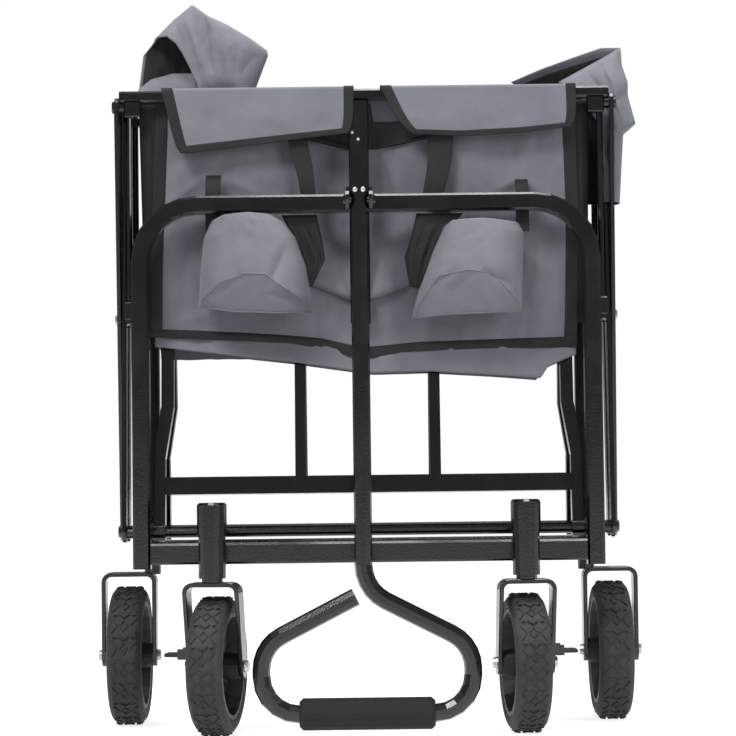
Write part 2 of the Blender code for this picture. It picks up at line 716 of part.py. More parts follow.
def floor_frame(name, rear):
    """Welded ladder that turns on the cross tube and stands up when the wagon is folded."""
    lean = FLOOR_LEAN

    def at(reach, x, depth=0.0):
        y = reach * math.sin(lean) + depth * math.cos(lean)
        z = PIVOT_Z + reach * math.cos(lean) - depth * math.sin(lean)
        return Vector((x, from_front(y, rear), z))

    def bar(points, width, depth):
        """Bar through (reach, x) points, its depth square to the frame's plane."""
        side = (at(0, 0, 1) - at(0, 0)).normalized()
        path = [at(reach, x) for reach, x in points]
        profile = [(a * width / 2, b * depth / 2) for a, b in ((1, 1), (-1, 1), (-1, -1), (1, -1))]
        return swept(path, profile, side)

    tip = FLOOR_REACH
    solids = []
    for sign in (-1, 1):
        leg = bar(
            (
                (0, sign * FLOOR_LEG_FOOT_X),
                (FLOOR_LEG_JOG_START, sign * FLOOR_LEG_FOOT_X),
                (FLOOR_LEG_JOG_END, sign * FLOOR_LEG_TOP_X),
                (tip, sign * FLOOR_LEG_TOP_X),
            ),
            FLOOR_LEG_WIDTH,
            FLOOR_LEG_DEPTH,
        )
        eye = rod(
            "x",
            (sign * FLOOR_LEG_FOOT_X - FLOOR_LEG_WIDTH / 2, from_front(0, rear), PIVOT_Z),
            FLOOR_LEG_WIDTH,
            FLOOR_EYE_RADIUS,
            16,
        )
        upright = bar(
            (
                (FLOOR_BAR_REACH, sign * FLOOR_UPRIGHT_X),
                (tip - FLOOR_TIP_HEIGHT / 2, sign * FLOOR_UPRIGHT_X),
            ),
            FLOOR_UPRIGHT_WIDTH,
            FLOOR_BAR_DEPTH - 0.002,
        )
        solids += [leg, eye, upright]
    low_bar = bar(
        ((FLOOR_BAR_REACH, -FLOOR_LEG_FOOT_X), (FLOOR_BAR_REACH, FLOOR_LEG_FOOT_X)),
        FLOOR_BAR_HEIGHT,
        FLOOR_BAR_DEPTH,
    )
    tip_reach = tip - FLOOR_TIP_HEIGHT / 2
    tip_bar = bar(
        ((tip_reach, -FLOOR_LEG_TOP_X), (tip_reach, FLOOR_LEG_TOP_X)),
        FLOOR_TIP_HEIGHT - 0.002,
        FLOOR_BAR_DEPTH,
    )
    frame = union(low_bar, tip_bar, *solids)
    bore = rod(
        "x", (-HOOP_HALF_SPACING, from_front(0, rear), PIVOT_Z), 2 * HOOP_HALF_SPACING,
        CROSS_TUBE_RADIUS + RUNNING, TUBE_SIDES,
    )
    frame = difference(frame, bore)
    make_object(
        name, frame, "gloss_black_steel", origin=(0, from_front(0, rear), PIVOT_Z)
    )


def caster_sockets():
    """Stepped sockets in front of the cross bar, each on a saddle welded to it."""
    sockets = []
    for sign in (-1, 1):
        centre = (sign * CASTER_X, CASTER_Y, 0)
        chamfer = 0.0025
        shell = turned(
            (
                (SOCKET_BOTTOM_Z, SOCKET_RADIUS),
                (SOCKET_STEP_Z, SOCKET_RADIUS),
                (SOCKET_STEP_Z, SOCKET_CAP_RADIUS),
                (SOCKET_TOP_Z - chamfer, SOCKET_CAP_RADIUS),
                (SOCKET_TOP_Z, SOCKET_CAP_RADIUS - chamfer),
            ),
            "z",
            centre,
            16,
        )
        saddle = box(
            (sign * CASTER_X - SOCKET_RADIUS, CASTER_Y, CROSS_BAR_Z - CROSS_BAR_HEIGHT / 2),
            (sign * CASTER_X + SOCKET_RADIUS, HOOP_FRONT_Y + WELD,
             CROSS_BAR_Z + CROSS_BAR_HEIGHT / 2),
        )
        bore = rod(
            "z", (centre[0], centre[1], SOCKET_BOTTOM_Z - 0.01),
            SOCKET_BORE_TOP_Z - SOCKET_BOTTOM_Z + 0.01, STEM_RADIUS + RUNNING, 12,
        )
        sockets.append(difference(union(shell, saddle), bore))
    return sockets


def strap_fork(x, top_y, axle_y, fork_top, radius):
    """An inverted-U strap whose legs reach the axle, with a round eye at each end."""
    centre = FORK_INNER + FORK_STRAP / 2
    top_z = fork_top - FORK_STRAP / 2
    corner = FORK_CORNER_RADIUS
    path = [Vector((x - centre, axle_y, radius))]
    for sign in (-1, 1):
        for i in range(5):
            angle = math.pi / 2 * i / 4
            if sign < 0:
                dx = -centre + corner * (1 - math.cos(angle))
                dz = -corner * (1 - math.sin(angle))
            else:
                dx = centre - corner * (1 - math.sin(angle))
                dz = -corner * (1 - math.cos(angle))
            path.append(Vector((x + dx, top_y, top_z + dz)))
    path.append(Vector((x + centre, axle_y, radius)))
    strap = swept(path, rectangle_profile(FORK_STRAP, FORK_DEPTH, 0.0008))
    eyes = []
    for sign in (-1, 1):
        eyes.append(
            pin_outwards(
                1, x + sign * centre - FORK_STRAP / 2, x + sign * centre + FORK_STRAP / 2,
                axle_y, radius, FORK_EYE_RADIUS, 14,
            )
        )
    bore = rod(
        "x", (x - FORK_OUTER - 0.01, axle_y, radius), 2 * FORK_OUTER + 0.02,
        AXLE_RADIUS + GAP, 12,
    )
    return union(strap, *eyes), bore


def axle(x, y, radius):
    """Axle bolt with a head on each side of the fork."""
    reach = FORK_OUTER + GAP
    head = AXLE_HEAD_HEIGHT
    profile = [
        (-reach - head, AXLE_HEAD_RADIUS * 0.85),
        (-reach, AXLE_HEAD_RADIUS),
        (-reach, AXLE_RADIUS),
        (reach, AXLE_RADIUS),
        (reach, AXLE_HEAD_RADIUS),
        (reach + head, AXLE_HEAD_RADIUS * 0.85),
    ]
    return turned(profile, "x", (x, y, radius), 12)


def front_caster(label, sign):
    x = sign * CASTER_X
    axle_y = CASTER_Y + CASTER_TRAIL
    stem_foot = Matrix.Translation((x, CASTER_Y, 0))
    turn = stem_foot @ Matrix.Rotation(CASTER_TURN[label], 4, "Z") @ stem_foot.inverted()
    fork, bore = strap_fork(x, CASTER_Y, axle_y, FORK_TOP_Z, WHEEL_RADIUS)
    stem = rod(
        "z", (x, CASTER_Y, FORK_TOP_Z - FORK_STRAP / 2),
        SOCKET_BORE_TOP_Z - 0.004 - FORK_TOP_Z, STEM_RADIUS, 12,
    )
    collar = rod(
        "z", (x, CASTER_Y, FORK_TOP_Z - FORK_STRAP / 2),
        SOCKET_BOTTOM_Z - GAP - FORK_TOP_Z + FORK_STRAP / 2, STEM_COLLAR_RADIUS, 12,
    )
    ears = []
    pivot_x = FORK_OUTER + LEVER_PIVOT_OUT
    ear_outer = pivot_x + LEVER_BARREL_RADIUS
    lever_y = axle_y
    for side in (-1, 1):
        inner_y = LEVER_WIDTH / 2 + GAP
        ys = sorted((side * inner_y, side * (inner_y + EAR_THICKNESS)))
        ears.append(
            box(
                (min(sign * (FORK_OUTER - 0.001), sign * ear_outer) + x, lever_y + ys[0],
                 LEVER_PIVOT_Z - 0.006),
                (max(sign * (FORK_OUTER - 0.001), sign * ear_outer) + x, lever_y + ys[1],
                 LEVER_PIVOT_Z + 0.006),
            )
        )
    ear_plate = box(
        (min(sign * (FORK_OUTER - 0.001), sign * (FORK_OUTER + 0.002)) + x,
         lever_y - LEVER_WIDTH / 2 - EAR_THICKNESS, LEVER_PIVOT_Z - 0.006),
        (max(sign * (FORK_OUTER - 0.001), sign * (FORK_OUTER + 0.002)) + x,
         lever_y + LEVER_WIDTH / 2 + EAR_THICKNESS, LEVER_PIVOT_Z + 0.006),
    )
    pin = rod(
        "y", (x + sign * pivot_x, lever_y - LEVER_WIDTH / 2 - EAR_THICKNESS / 2, LEVER_PIVOT_Z),
        LEVER_WIDTH + EAR_THICKNESS, LEVER_PIN_RADIUS, 8,
    )
    fork = difference(union(fork, stem, collar, ear_plate, *ears, pin), bore)
    make_object(
        f"caster_fork_{label}", fork, "gloss_black_steel", origin=(x, CASTER_Y, FORK_TOP_Z),
        smooth=True, turn=turn,
    )
    make_object(
        f"caster_axle_{label}", axle(x, axle_y, WHEEL_RADIUS), "bright_steel",
        origin=(x, axle_y, WHEEL_RADIUS), smooth=True, turn=turn,
    )
    wheel(f"front_{label}", x, axle_y, WHEEL_RADIUS, turn)
    brake_lever(label, sign, x, lever_y, pivot_x, turn)


def brake_lever(label, sign, x, y, pivot_x, turn):
    """Pedal on a barrel that turns on the pin between the fork's ears."""
    centre_x = x + sign * pivot_x
    barrel = rod(
        "y", (centre_x, y - LEVER_WIDTH / 2, LEVER_PIVOT_Z), LEVER_WIDTH,
        LEVER_BARREL_RADIUS, 12,
    )
    xs = sorted((centre_x + sign * LEVER_BARREL_RADIUS * 0.5, centre_x + sign * LEVER_REACH))
    pedal = box(
        (xs[0], y - LEVER_WIDTH / 2, LEVER_PIVOT_Z - LEVER_BARREL_RADIUS),
        (xs[1], y + LEVER_WIDTH / 2, LEVER_PIVOT_Z - LEVER_BARREL_RADIUS + LEVER_THICKNESS),
        0.001,
    )
    bore = rod(
        "y", (centre_x, y - LEVER_WIDTH, LEVER_PIVOT_Z), 2 * LEVER_WIDTH,
        LEVER_PIN_RADIUS + RUNNING, 8,
    )
    make_object(
        f"brake_lever_{label}", difference(union(barrel, pedal), bore), "black_plastic",
        origin=(centre_x, y, LEVER_PIVOT_Z), turn=turn,
    )


def tyre(name, x, y, radius, turn):
    """Tyre whose tread rows step in and out by half a pitch, as a zigzag tread does."""
    half = TYRE_WIDTH / 2
    sides = 2 * TREAD_PITCHES
    inner = radius - TYRE_THICKNESS + GAP
    crown = radius / math.cos(math.pi / sides)
    shoulder = radius - 0.004
    section = [
        (-half * 0.92, inner, 0), (-half, shoulder - 0.005, 0), (-half * 0.86, shoulder, 0),
        (-half * TREAD_FLAT_SHARE, crown, 1), (-half * 0.20, crown, 2), (half * 0.20, crown, 2),
        (half * TREAD_FLAT_SHARE, crown, 1), (half * 0.86, shoulder, 0), (half, shoulder - 0.005, 0),
        (half * 0.92, inner, 0),
    ]
    bm = bmesh.new()
    rows = []
    for across, reach, row_kind in section:
        row = []
        for i in range(sides):
            angle = 2 * math.pi * (i + 0.5) / sides
            r = reach / math.cos(math.pi / sides) if reach == inner else reach
            if row_kind and (i + row_kind) % 2:
                r -= TREAD_DEPTH
            row.append(
                bm.verts.new((x + across, y + r * math.cos(angle),
                              radius + r * math.sin(angle)))
            )
        rows.append(row)
    for below, above in zip(rows, rows[1:] + rows[:1]):
        for i in range(sides):
            j = (i + 1) % sides
            bm.faces.new((below[i], below[j], above[j], above[i]))
    bmesh.ops.recalc_face_normals(bm, faces=bm.faces)
    make_object(
        name, bm, "tyre_rubber", origin=(x, y, radius), smooth=True,
        turn=turn,
    )


def hub(name, x, y, radius, turn):
    """Moulded hub: rim, thin web with round windows, and a boss bored for the axle."""
    rim = radius - TYRE_THICKNESS
    half, web, boss = HUB_WIDTH / 2, HUB_WEB / 2, HUB_BOSS_WIDTH / 2
    bore = AXLE_RADIUS + RUNNING
    profile = [
        (-boss, bore), (-boss, HUB_BOSS_RADIUS), (-web, HUB_BOSS_RADIUS + 0.002),
        (-web, rim - HUB_RIM_WALL - 0.003), (-half, rim - HUB_RIM_WALL), (-half, rim),
        (half, rim), (half, rim - HUB_RIM_WALL), (web, rim - HUB_RIM_WALL - 0.003),
        (web, HUB_BOSS_RADIUS + 0.002), (boss, HUB_BOSS_RADIUS), (boss, bore),
    ]
    body = turned(profile, "x", (x, y, radius), HUB_SIDES, closed=True)
    ring = (HUB_BOSS_RADIUS + rim - HUB_RIM_WALL) / 2
    cuts = []
    for i in range(HUB_WINDOWS):
        angle = 2 * math.pi * i / HUB_WINDOWS + math.pi / 2
        cuts.append(
            rod(
                "x",
                (x - boss, y + ring * math.cos(angle), radius + ring * math.sin(angle)),
                HUB_BOSS_WIDTH,
                HUB_WINDOW_RADIUS,
                8,
            )
        )
    make_object(
        name, difference(body, *cuts), "hub_plastic", origin=(x, y, radius), smooth=True,
        turn=turn,
    )


def wheel(label, x, y, radius, turn=None):
    hub(f"hub_{label}", x, y, radius, turn)
    tyre(f"tyre_{label}", x, y, radius, turn)


def rear_fork(side, sign):
    """Fixed fork whose post stands under the rear upright."""
    y = from_front(HOOP_Y, True)
    x = sign * REAR_WHEEL_X
    radius = REAR_WHEEL_RADIUS
    fork, bore = strap_fork(x, y, y, REAR_FORK_TOP_Z, radius)
    post = rod(
        "z", (sign * HOOP_HALF_SPACING, y, REAR_FORK_TOP_Z - FORK_STRAP / 2),
        HOOP_BOTTOM_Z - GAP - REAR_FORK_TOP_Z + FORK_STRAP / 2, REAR_POST_RADIUS, 16,
    )
    make_object(
        f"rear_fork_{side}", difference(union(fork, post), bore), "gloss_black_steel",
        origin=(x, y, REAR_FORK_TOP_Z), smooth=True,
    )
    make_object(
        f"rear_axle_{side}", axle(x, y, radius), "bright_steel", origin=(x, y, radius),
        smooth=True,
    )
    wheel(f"rear_{side}", x, y, radius)


def handle_bracket():
    plate_front = HOOP_FRONT_Y - GAP - BRACKET_PLATE
    half_gap = BRACKET_EAR_GAP / 2
    half = half_gap + BRACKET_EAR_THICKNESS
    plate = box(
        (HANDLE_X - half + WELD, plate_front, BRACKET_BOTTOM_Z + WELD),
        (HANDLE_X + half - WELD, HOOP_FRONT_Y - GAP, BRACKET_TOP_Z - WELD),
    )
    ears = []
    pin_y = HANDLE_Y
    nose = BRACKET_PLATE + 0.008
    for sign in (-1, 1):
        outline = [
            (HOOP_FRONT_Y - GAP, BRACKET_BOTTOM_Z),
            (HOOP_FRONT_Y - GAP, BRACKET_TOP_Z),
            (HOOP_FRONT_Y - 0.016, BRACKET_TOP_Z),
        ]
        for i in range(7):
            angle = math.radians(60 + 30 * i)
            outline.append(
                (pin_y + nose * math.cos(angle), HANDLE_PIVOT_Z + nose * math.sin(angle))
            )
        outline.append((HOOP_FRONT_Y - 0.016, BRACKET_BOTTOM_Z - 0.004))
        xs = sorted((HANDLE_X + sign * half_gap, HANDLE_X + sign * half))
        ears.append(loft([[(x, a, b) for a, b in outline] for x in xs]))
    bore = rod(
        "x", (HANDLE_X - 2 * half, pin_y, HANDLE_PIVOT_Z), 4 * half, PIN_RADIUS + GAP, 12
    )
    bracket = difference(union(plate, *ears), bore)
    make_object(
        "handle_bracket", bracket, "gloss_black_steel",
        origin=(HANDLE_X, HOOP_FRONT_Y, HANDLE_PIVOT_Z),
    )


def handle():
    """One bent tube: shaft, loop to the right, straight length in the grip, and open end."""
    slope = LOOP_RISE / (LOOP_RIGHT_X - HANDLE_X)
    turn_z = LOOP_SHOULDER_Z + LOOP_RISE
    end_z = LOOP_SHOULDER_Z + (LOOP_OPEN_END_X - LOOP_LEFT_X) * slope
    path = rounded(
        [
            ((HANDLE_X, HANDLE_Y, HANDLE_PIVOT_Z + HANDLE_TOP_OVER_PIVOT), 0),
            ((HANDLE_X, HANDLE_Y, turn_z), SHAFT_BEND_RADIUS),
            ((LOOP_RIGHT_X, HANDLE_Y, LOOP_SHOULDER_Z), LOOP_BEND_RADIUS),
            ((LOOP_RIGHT_X, HANDLE_Y, GRIP_Z), LOOP_BEND_RADIUS),
            ((LOOP_LEFT_X, HANDLE_Y, GRIP_Z), LOOP_BEND_RADIUS),
            ((LOOP_LEFT_X, HANDLE_Y, LOOP_SHOULDER_Z), LOOP_BEND_RADIUS),
            ((LOOP_OPEN_END_X, HANDLE_Y, end_z), 0),
        ],
        steps=5,
    )
    tube = swept(path, round_profile(HANDLE_TUBE_RADIUS, 10))
    bore = rod(
        "x", (HANDLE_X - 2 * HANDLE_TUBE_RADIUS, HANDLE_Y, HANDLE_PIVOT_Z),
        4 * HANDLE_TUBE_RADIUS, PIN_RADIUS + RUNNING, 12,
    )
    origin = (HANDLE_X, HANDLE_Y, HANDLE_PIVOT_Z)
    make_object(
        "handle_tube", difference(tube, bore), "gloss_black_steel", origin=origin, smooth=True
    )
    length = GRIP_RIGHT_X - GRIP_LEFT_X
    inner = HANDLE_TUBE_RADIUS + GAP
    end, r = 0.004, GRIP_RADIUS
    profile = [
        (0, inner), (0, r - end), (end, r), (length - end, r), (length, r - end), (length, inner),
    ]
    grip = turned(profile, "x", (GRIP_LEFT_X, HANDLE_Y, GRIP_Z), 20, closed=True)
    make_object("handle_grip", grip, "foam", origin=(0, HANDLE_Y, GRIP_Z), smooth=True)
    half = BRACKET_EAR_GAP / 2 + BRACKET_EAR_THICKNESS + GAP
    head = PIN_HEAD_HEIGHT
    profile = [
        (-half - head, PIN_HEAD_RADIUS * 0.7), (-half, PIN_HEAD_RADIUS), (-half, PIN_RADIUS),
        (half, PIN_RADIUS), (half, PIN_HEAD_RADIUS), (half + head, PIN_HEAD_RADIUS * 0.7),
    ]
    pin = turned(profile, "x", origin, 12)
    make_object("handle_pin", pin, "bright_steel", origin=origin, smooth=True)


def bag_panel(name, rear):
    """Hanging cloth under the rail, drawn in at the middle, its lower edge dipping there."""
    columns, rows = (8, 5) if rear else (16, 7)
    top = RAIL_TOP_Z + GAP + FLAP_CLOTH / 2
    grids = []
    for depth in (0.0, CLOTH):
        grid = []
        for j in range(rows + 1):
            line = []
            for i in range(columns + 1):
                u = i / columns * 2 - 1
                x = u * PANEL_HALF_WIDTH
                dip = PANEL_DIP * max(0.0, 1 - abs(x) / 0.19) ** 1.2
                bottom = PANEL_EDGE_Z - dip
                v = j / rows
                z = bottom + (top - bottom) * v
                middle = math.exp(-(x / RECESS_HALF_WIDTH) ** 2)
                share = (z - RECESS_BOTTOM_Z) / (RECESS_TOP_Z - RECESS_BOTTOM_Z)
                height = math.sin(math.pi * min(max(share, 0), 1))
                y = PANEL_Y + depth + PANEL_RECESS * middle * height
                line.append((x, from_front(y, rear), z))
            grid.append(line)
        grids.append(grid)
    bm = bmesh.new()
    front = [[bm.verts.new(p) for p in line] for line in grids[0]]
    back = [[bm.verts.new(p) for p in line] for line in grids[1]]
    for j in range(rows):
        for i in range(columns):
            a = (front[j][i], front[j][i + 1], front[j + 1][i + 1], front[j + 1][i])
            b = (back[j][i], back[j + 1][i], back[j + 1][i + 1], back[j][i + 1])
            bm.faces.new(a)
            bm.faces.new(b)
    rim_front = front[0] + [line[-1] for line in front[1:-1]] + front[-1][::-1]
    rim_front += [line[0] for line in front[1:-1]][::-1]
    rim_back = back[0] + [line[-1] for line in back[1:-1]] + back[-1][::-1]
    rim_back += [line[0] for line in back[1:-1]][::-1]
    count = len(rim_front)
    for i in range(count):
        j = (i + 1) % count
        bm.faces.new((rim_front[i], rim_back[i], rim_back[j], rim_front[j]))
    panel = union(bm, *rail_flaps(rear))
    make_object(
        name, panel, "grey_cloth", origin=(0, from_front(PANEL_Y, rear), RAIL_Z), smooth=True
    )


def rail_flaps(rear):
    """Cloth folded over the rail and hanging in front of it on both sides of the post."""
    flaps = []
    front = RAIL_FRONT_Y - GAP
    top = RAIL_TOP_Z + GAP
    back = PANEL_Y + CLOTH / 2
    for low, high in FLAP_SPANS:
        outline = [
            (front, FLAP_BOTTOM_Z), (front, top), (back, top), (back, top + FLAP_CLOTH),
            (front - FLAP_CLOTH * 0.4, top + FLAP_CLOTH), (front - FLAP_CLOTH, top),
            (front - FLAP_CLOTH, FLAP_BOTTOM_Z),
        ]
        rings = []
        for x in (low, high):
            rings.append([(x, from_front(y, rear), z) for y, z in outline])
        flaps.append(loft(rings))
    return flaps


def side_wall(name, sign, rear):
    """Half of a gathered side wall, folded flat behind the panel: a wad creased by its pleats."""
    start = PANEL_BACK_Y + GAP
    end = MIDDLE_Y - GAP / 2
    outer = sign * (PANEL_HALF_WIDTH - WALL_TO_EDGE)
    inner = outer - sign * WALL_PLEAT_DEPTH
    crease = outer - sign * WALL_CREASE_LEFT
    outline = [(outer, end), (outer, start)]
    for i in range(2 * WALL_PLEATS + 1):
        outline.append((crease if i % 2 else inner, start + (end - start) * i / (2 * WALL_PLEATS)))
    rings = [
        [(x, from_front(y, rear), z) for x, y in outline] for z in (WALL_BOTTOM_Z, WALL_TOP_Z)
    ]
    origin = (0, from_front(start, rear), WALL_BOTTOM_Z)
    make_object(name, loft(rings), "grey_cloth", origin=origin)


def floor_cloth(name, rear):
    start = PANEL_BACK_Y + GAP
    end = MIDDLE_Y - GAP
    bm = box_in_half(
        (-FLOOR_CLOTH_HALF_WIDTH, FLOOR_CLOTH_HALF_WIDTH), (start, end),
        (FLOOR_CLOTH_Z, FLOOR_CLOTH_Z + CLOTH), rear, edge=0.001,
    )
    make_object(name, bm, "grey_cloth", origin=(0, from_front(start, rear), FLOOR_CLOTH_Z))


def side_bulge(side, sign, outline):
    """Side wall pushed up out of the way: a band of cloth that loops over the rail's end."""
    y_low, y_high = PANEL_BACK_Y + GAP, REAR_Y - PANEL_BACK_Y - GAP
    middle = (y_low + y_high) / 2
    path = rounded(
        [((sign * (OUTER_LAYER_END_X + out), middle, RAIL_PIVOT_Z + up), radius)
         for out, up, radius in outline],
        steps=3,
    )
    bm = swept(path, rectangle_profile(BULGE_CLOTH, y_high - y_low, 0.001))
    make_object(f"side_bulge_{side}", bm, "grey_cloth", origin=path[0], smooth=True)


def cup_pouch(side, top_x, top_half, low_x, low_half):
    """Cup pouch on the hoop's top bar: a shell with an open top, and a tab over the bar."""
    back = HOOP_BACK_Y - POUCH_BACK
    height = POUCH_DEPTH

    def ring(share, inset):
        x = low_x + (top_x - low_x) * share
        half = low_half + (top_half - low_half) * share - inset
        half -= 0 if share else POUCH_BOTTOM_TUCK
        bulge = POUCH_BULGE - 2.2 * inset
        points = []
        for i in range(POUCH_SIDES + 1):
            angle = math.pi * i / POUCH_SIDES
            points.append(
                (x + half * math.cos(angle),
                 back - inset * 1.2 - bulge * math.sin(angle) ** 0.8,
                 POUCH_BOTTOM_Z + height * share)
            )
        return points

    rings = [ring(share, 0) for share in (0.0, 0.12, 0.5, 1.0)]
    rings += [ring(share, POUCH_CLOTH) for share in (1.0, 0.5, 0.12)]
    tab_low = top_x - TAB_WIDTH / 2 + (-1 if top_x < 0 else 1) * TAB_OFFSET
    tab_top = HOOP_TOP_Z + TUBE / 2 + GAP
    front = HOOP_FRONT_Y - GAP
    outline = [
        (front, POUCH_TOP_Z - TAB_LAP), (front, tab_top), (HOOP_BACK_Y, tab_top),
        (HOOP_BACK_Y, tab_top + TAB_CLOTH), (front - TAB_CLOTH / 2, tab_top + TAB_CLOTH),
        (front - TAB_CLOTH, tab_top), (front - TAB_CLOTH, POUCH_TOP_Z - TAB_LAP),
    ]
    tab = loft([[(x, y, z) for y, z in outline] for x in (tab_low, tab_low + TAB_WIDTH)])
    make_object(
        f"cup_pouch_{side}", union(loft(rings), tab), "grey_cloth",
        origin=(top_x, back, POUCH_TOP_Z), smooth=True,
    )


def joint_empties():
    """Axes of the main joints, as guides for a reader of the file."""
    places = {
        "fold_axis": (0, 0, PIVOT_Z),
        "rear_fold_axis": (0, REAR_Y, PIVOT_Z),
        "handle_axis": (HANDLE_X, HANDLE_Y, HANDLE_PIVOT_Z),
    }
    for name, place in places.items():
        guide = bpy.data.objects.new(name, None)
        guide.empty_display_size = 0.05
        guide.location = Vector(place) - Vector((0, DEPTH_CENTRE, 0))
        bpy.context.collection.objects.link(guide)


def main():
    clear_scene()
    for end, rear in (("front", False), ("rear", True)):
        hoop(f"{end}_hoop", rear)
        cross_bar(f"{end}_cross_bar", rear)
        top_rail(f"{end}_top_rail", rear)
        floor_frame(f"{end}_floor_frame", rear)
        bag_panel(f"bag_{end}_panel", rear)
        floor_cloth(f"floor_cloth_{end}", rear)
        for side, sign in SIDES:
            side_wall(f"side_wall_{end}_{side}", sign, rear)
    cross_tube("front_pivot_tube", 0, INNER_LAYER_X + LINK_THICKNESS + GAP)
    cross_tube("rear_pivot_tube", REAR_Y, OUTER_LAYER_END_X + GAP)
    linkage()
    centre_post()
    for side, sign in SIDES:
        front_caster(side, sign)
        rear_fork(side, sign)
    handle_bracket()
    handle()
    cup_pouch("left", *LEFT_POUCH)
    cup_pouch("right", *RIGHT_POUCH)
    side_bulge("left", -1, LEFT_BULGE)
    side_bulge("right", 1, RIGHT_BULGE)
    joint_empties()


main()
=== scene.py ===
"""Looks of the folding wagon: coated steel, moulded wheels and woven cloth on the CAD frame."""

import json
import math

import bmesh
import bpy
from mathutils import Matrix, Vector, noise


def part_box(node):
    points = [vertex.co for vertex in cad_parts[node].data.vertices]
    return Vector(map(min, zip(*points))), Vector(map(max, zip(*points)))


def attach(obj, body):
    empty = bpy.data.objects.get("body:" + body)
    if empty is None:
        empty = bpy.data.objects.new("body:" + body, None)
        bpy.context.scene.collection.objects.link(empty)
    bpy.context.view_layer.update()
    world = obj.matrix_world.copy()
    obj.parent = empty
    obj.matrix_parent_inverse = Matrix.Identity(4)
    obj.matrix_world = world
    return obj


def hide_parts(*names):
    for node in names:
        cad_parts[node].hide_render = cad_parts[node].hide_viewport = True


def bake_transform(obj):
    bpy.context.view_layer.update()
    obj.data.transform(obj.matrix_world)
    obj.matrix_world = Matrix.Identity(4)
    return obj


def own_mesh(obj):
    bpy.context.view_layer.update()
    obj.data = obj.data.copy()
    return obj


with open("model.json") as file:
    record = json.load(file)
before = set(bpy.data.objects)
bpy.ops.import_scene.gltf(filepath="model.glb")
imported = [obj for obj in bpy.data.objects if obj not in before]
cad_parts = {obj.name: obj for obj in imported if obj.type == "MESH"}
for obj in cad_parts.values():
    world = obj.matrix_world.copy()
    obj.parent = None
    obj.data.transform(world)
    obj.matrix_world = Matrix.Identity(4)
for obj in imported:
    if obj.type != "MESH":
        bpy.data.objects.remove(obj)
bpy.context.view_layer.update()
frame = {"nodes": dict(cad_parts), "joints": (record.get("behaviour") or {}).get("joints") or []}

# Places taken from the CAD pieces that carry the cloth and the fittings
REAR_RAIL_LOW, REAR_RAIL_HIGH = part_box("rear_top_rail")
POST_LOW, POST_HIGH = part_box("centre_post")
BRACKET_LOW, BRACKET_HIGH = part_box("handle_bracket")
HOOP_FRONT_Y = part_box("front_hoop")[0].y

TUBE_SIZE = 0.020
RAIL_DEPTH = 0.016
RAIL_TOP_ABOVE_POST = 0.0133
PANEL_CLEARANCE = 0.0003

RAIL_TOP_Z = POST_HIGH.z + RAIL_TOP_ABOVE_POST
PIVOT_Y = POST_LOW.y + RAIL_DEPTH / 2
REAR_PIVOT_Y = (REAR_RAIL_LOW.y + REAR_RAIL_HIGH.y) / 2
RAIL_FRONT_Y = PIVOT_Y - RAIL_DEPTH / 2
RAIL_BACK_Y = PIVOT_Y + RAIL_DEPTH / 2
PANEL_FACE_Y = RAIL_BACK_Y + PANEL_CLEARANCE
HOOP_BACK_Y = HOOP_FRONT_Y + TUBE_SIZE


# Materials

# A Wave Texture of scale 1 runs through this many radians in a metre
WAVE_RATE = 20

def srgb(code):
    """Linear colour of an sRGB hex code."""
    parts = [int(code[i:i + 2], 16) / 255 for i in (0, 2, 4)]
    line = [p / 12.92 if p <= 0.04045 else ((p + 0.055) / 1.055) ** 2.4 for p in parts]
    return (*line, 1.0)


def add(tree, kind, inputs=None, **settings):
    """A node with its settings; each input is a value or a socket to link."""
    made = tree.nodes.new(kind)
    for key, value in settings.items():
        setattr(made, key, value)
    for key, value in (inputs or {}).items():
        socket = made.inputs[key]
        if isinstance(value, bpy.types.NodeSocket):
            tree.links.new(value, socket)
        else:
            socket.default_value = value
    return made


def blank_material(name):
    """A material with an empty tree, its Principled shader and its output."""
    material = bpy.data.materials.new(name)
    material.use_nodes = True
    tree = material.node_tree
    tree.nodes.clear()
    shader = add(tree, "ShaderNodeBsdfPrincipled")
    add(tree, "ShaderNodeOutputMaterial", {"Surface": shader.outputs["BSDF"]})
    return material, tree, shader


def uneven_finish(tree, shader, pattern, colours, roughness, relief):
    """Let colour and roughness follow a pattern, and give the surface its relief.

    colours and roughness are (pattern from, pattern to, first, second).
    relief is (height, depth in metres, strength). The colour is returned.
    """
    share = add(
        tree, "ShaderNodeMapRange",
        {"Value": pattern, "From Min": colours[0], "From Max": colours[1]},
    )
    colour = add(
        tree, "ShaderNodeMix",
        {0: share.outputs["Result"], 6: srgb(colours[2]), 7: srgb(colours[3])}, data_type="RGBA",
    ).outputs[2]
    rough = add(
        tree, "ShaderNodeMapRange",
        {"Value": pattern, "From Min": roughness[0], "From Max": roughness[1],
         "To Min": roughness[2], "To Max": roughness[3]},
    )
    raised = add(
        tree, "ShaderNodeBump", {"Height": relief[0], "Distance": relief[1], "Strength": relief[2]}
    )
    tree.links.new(colour, shader.inputs["Base Color"])
    tree.links.new(rough.outputs["Result"], shader.inputs["Roughness"])
    tree.links.new(raised.outputs["Normal"], shader.inputs["Normal"])
    return colour


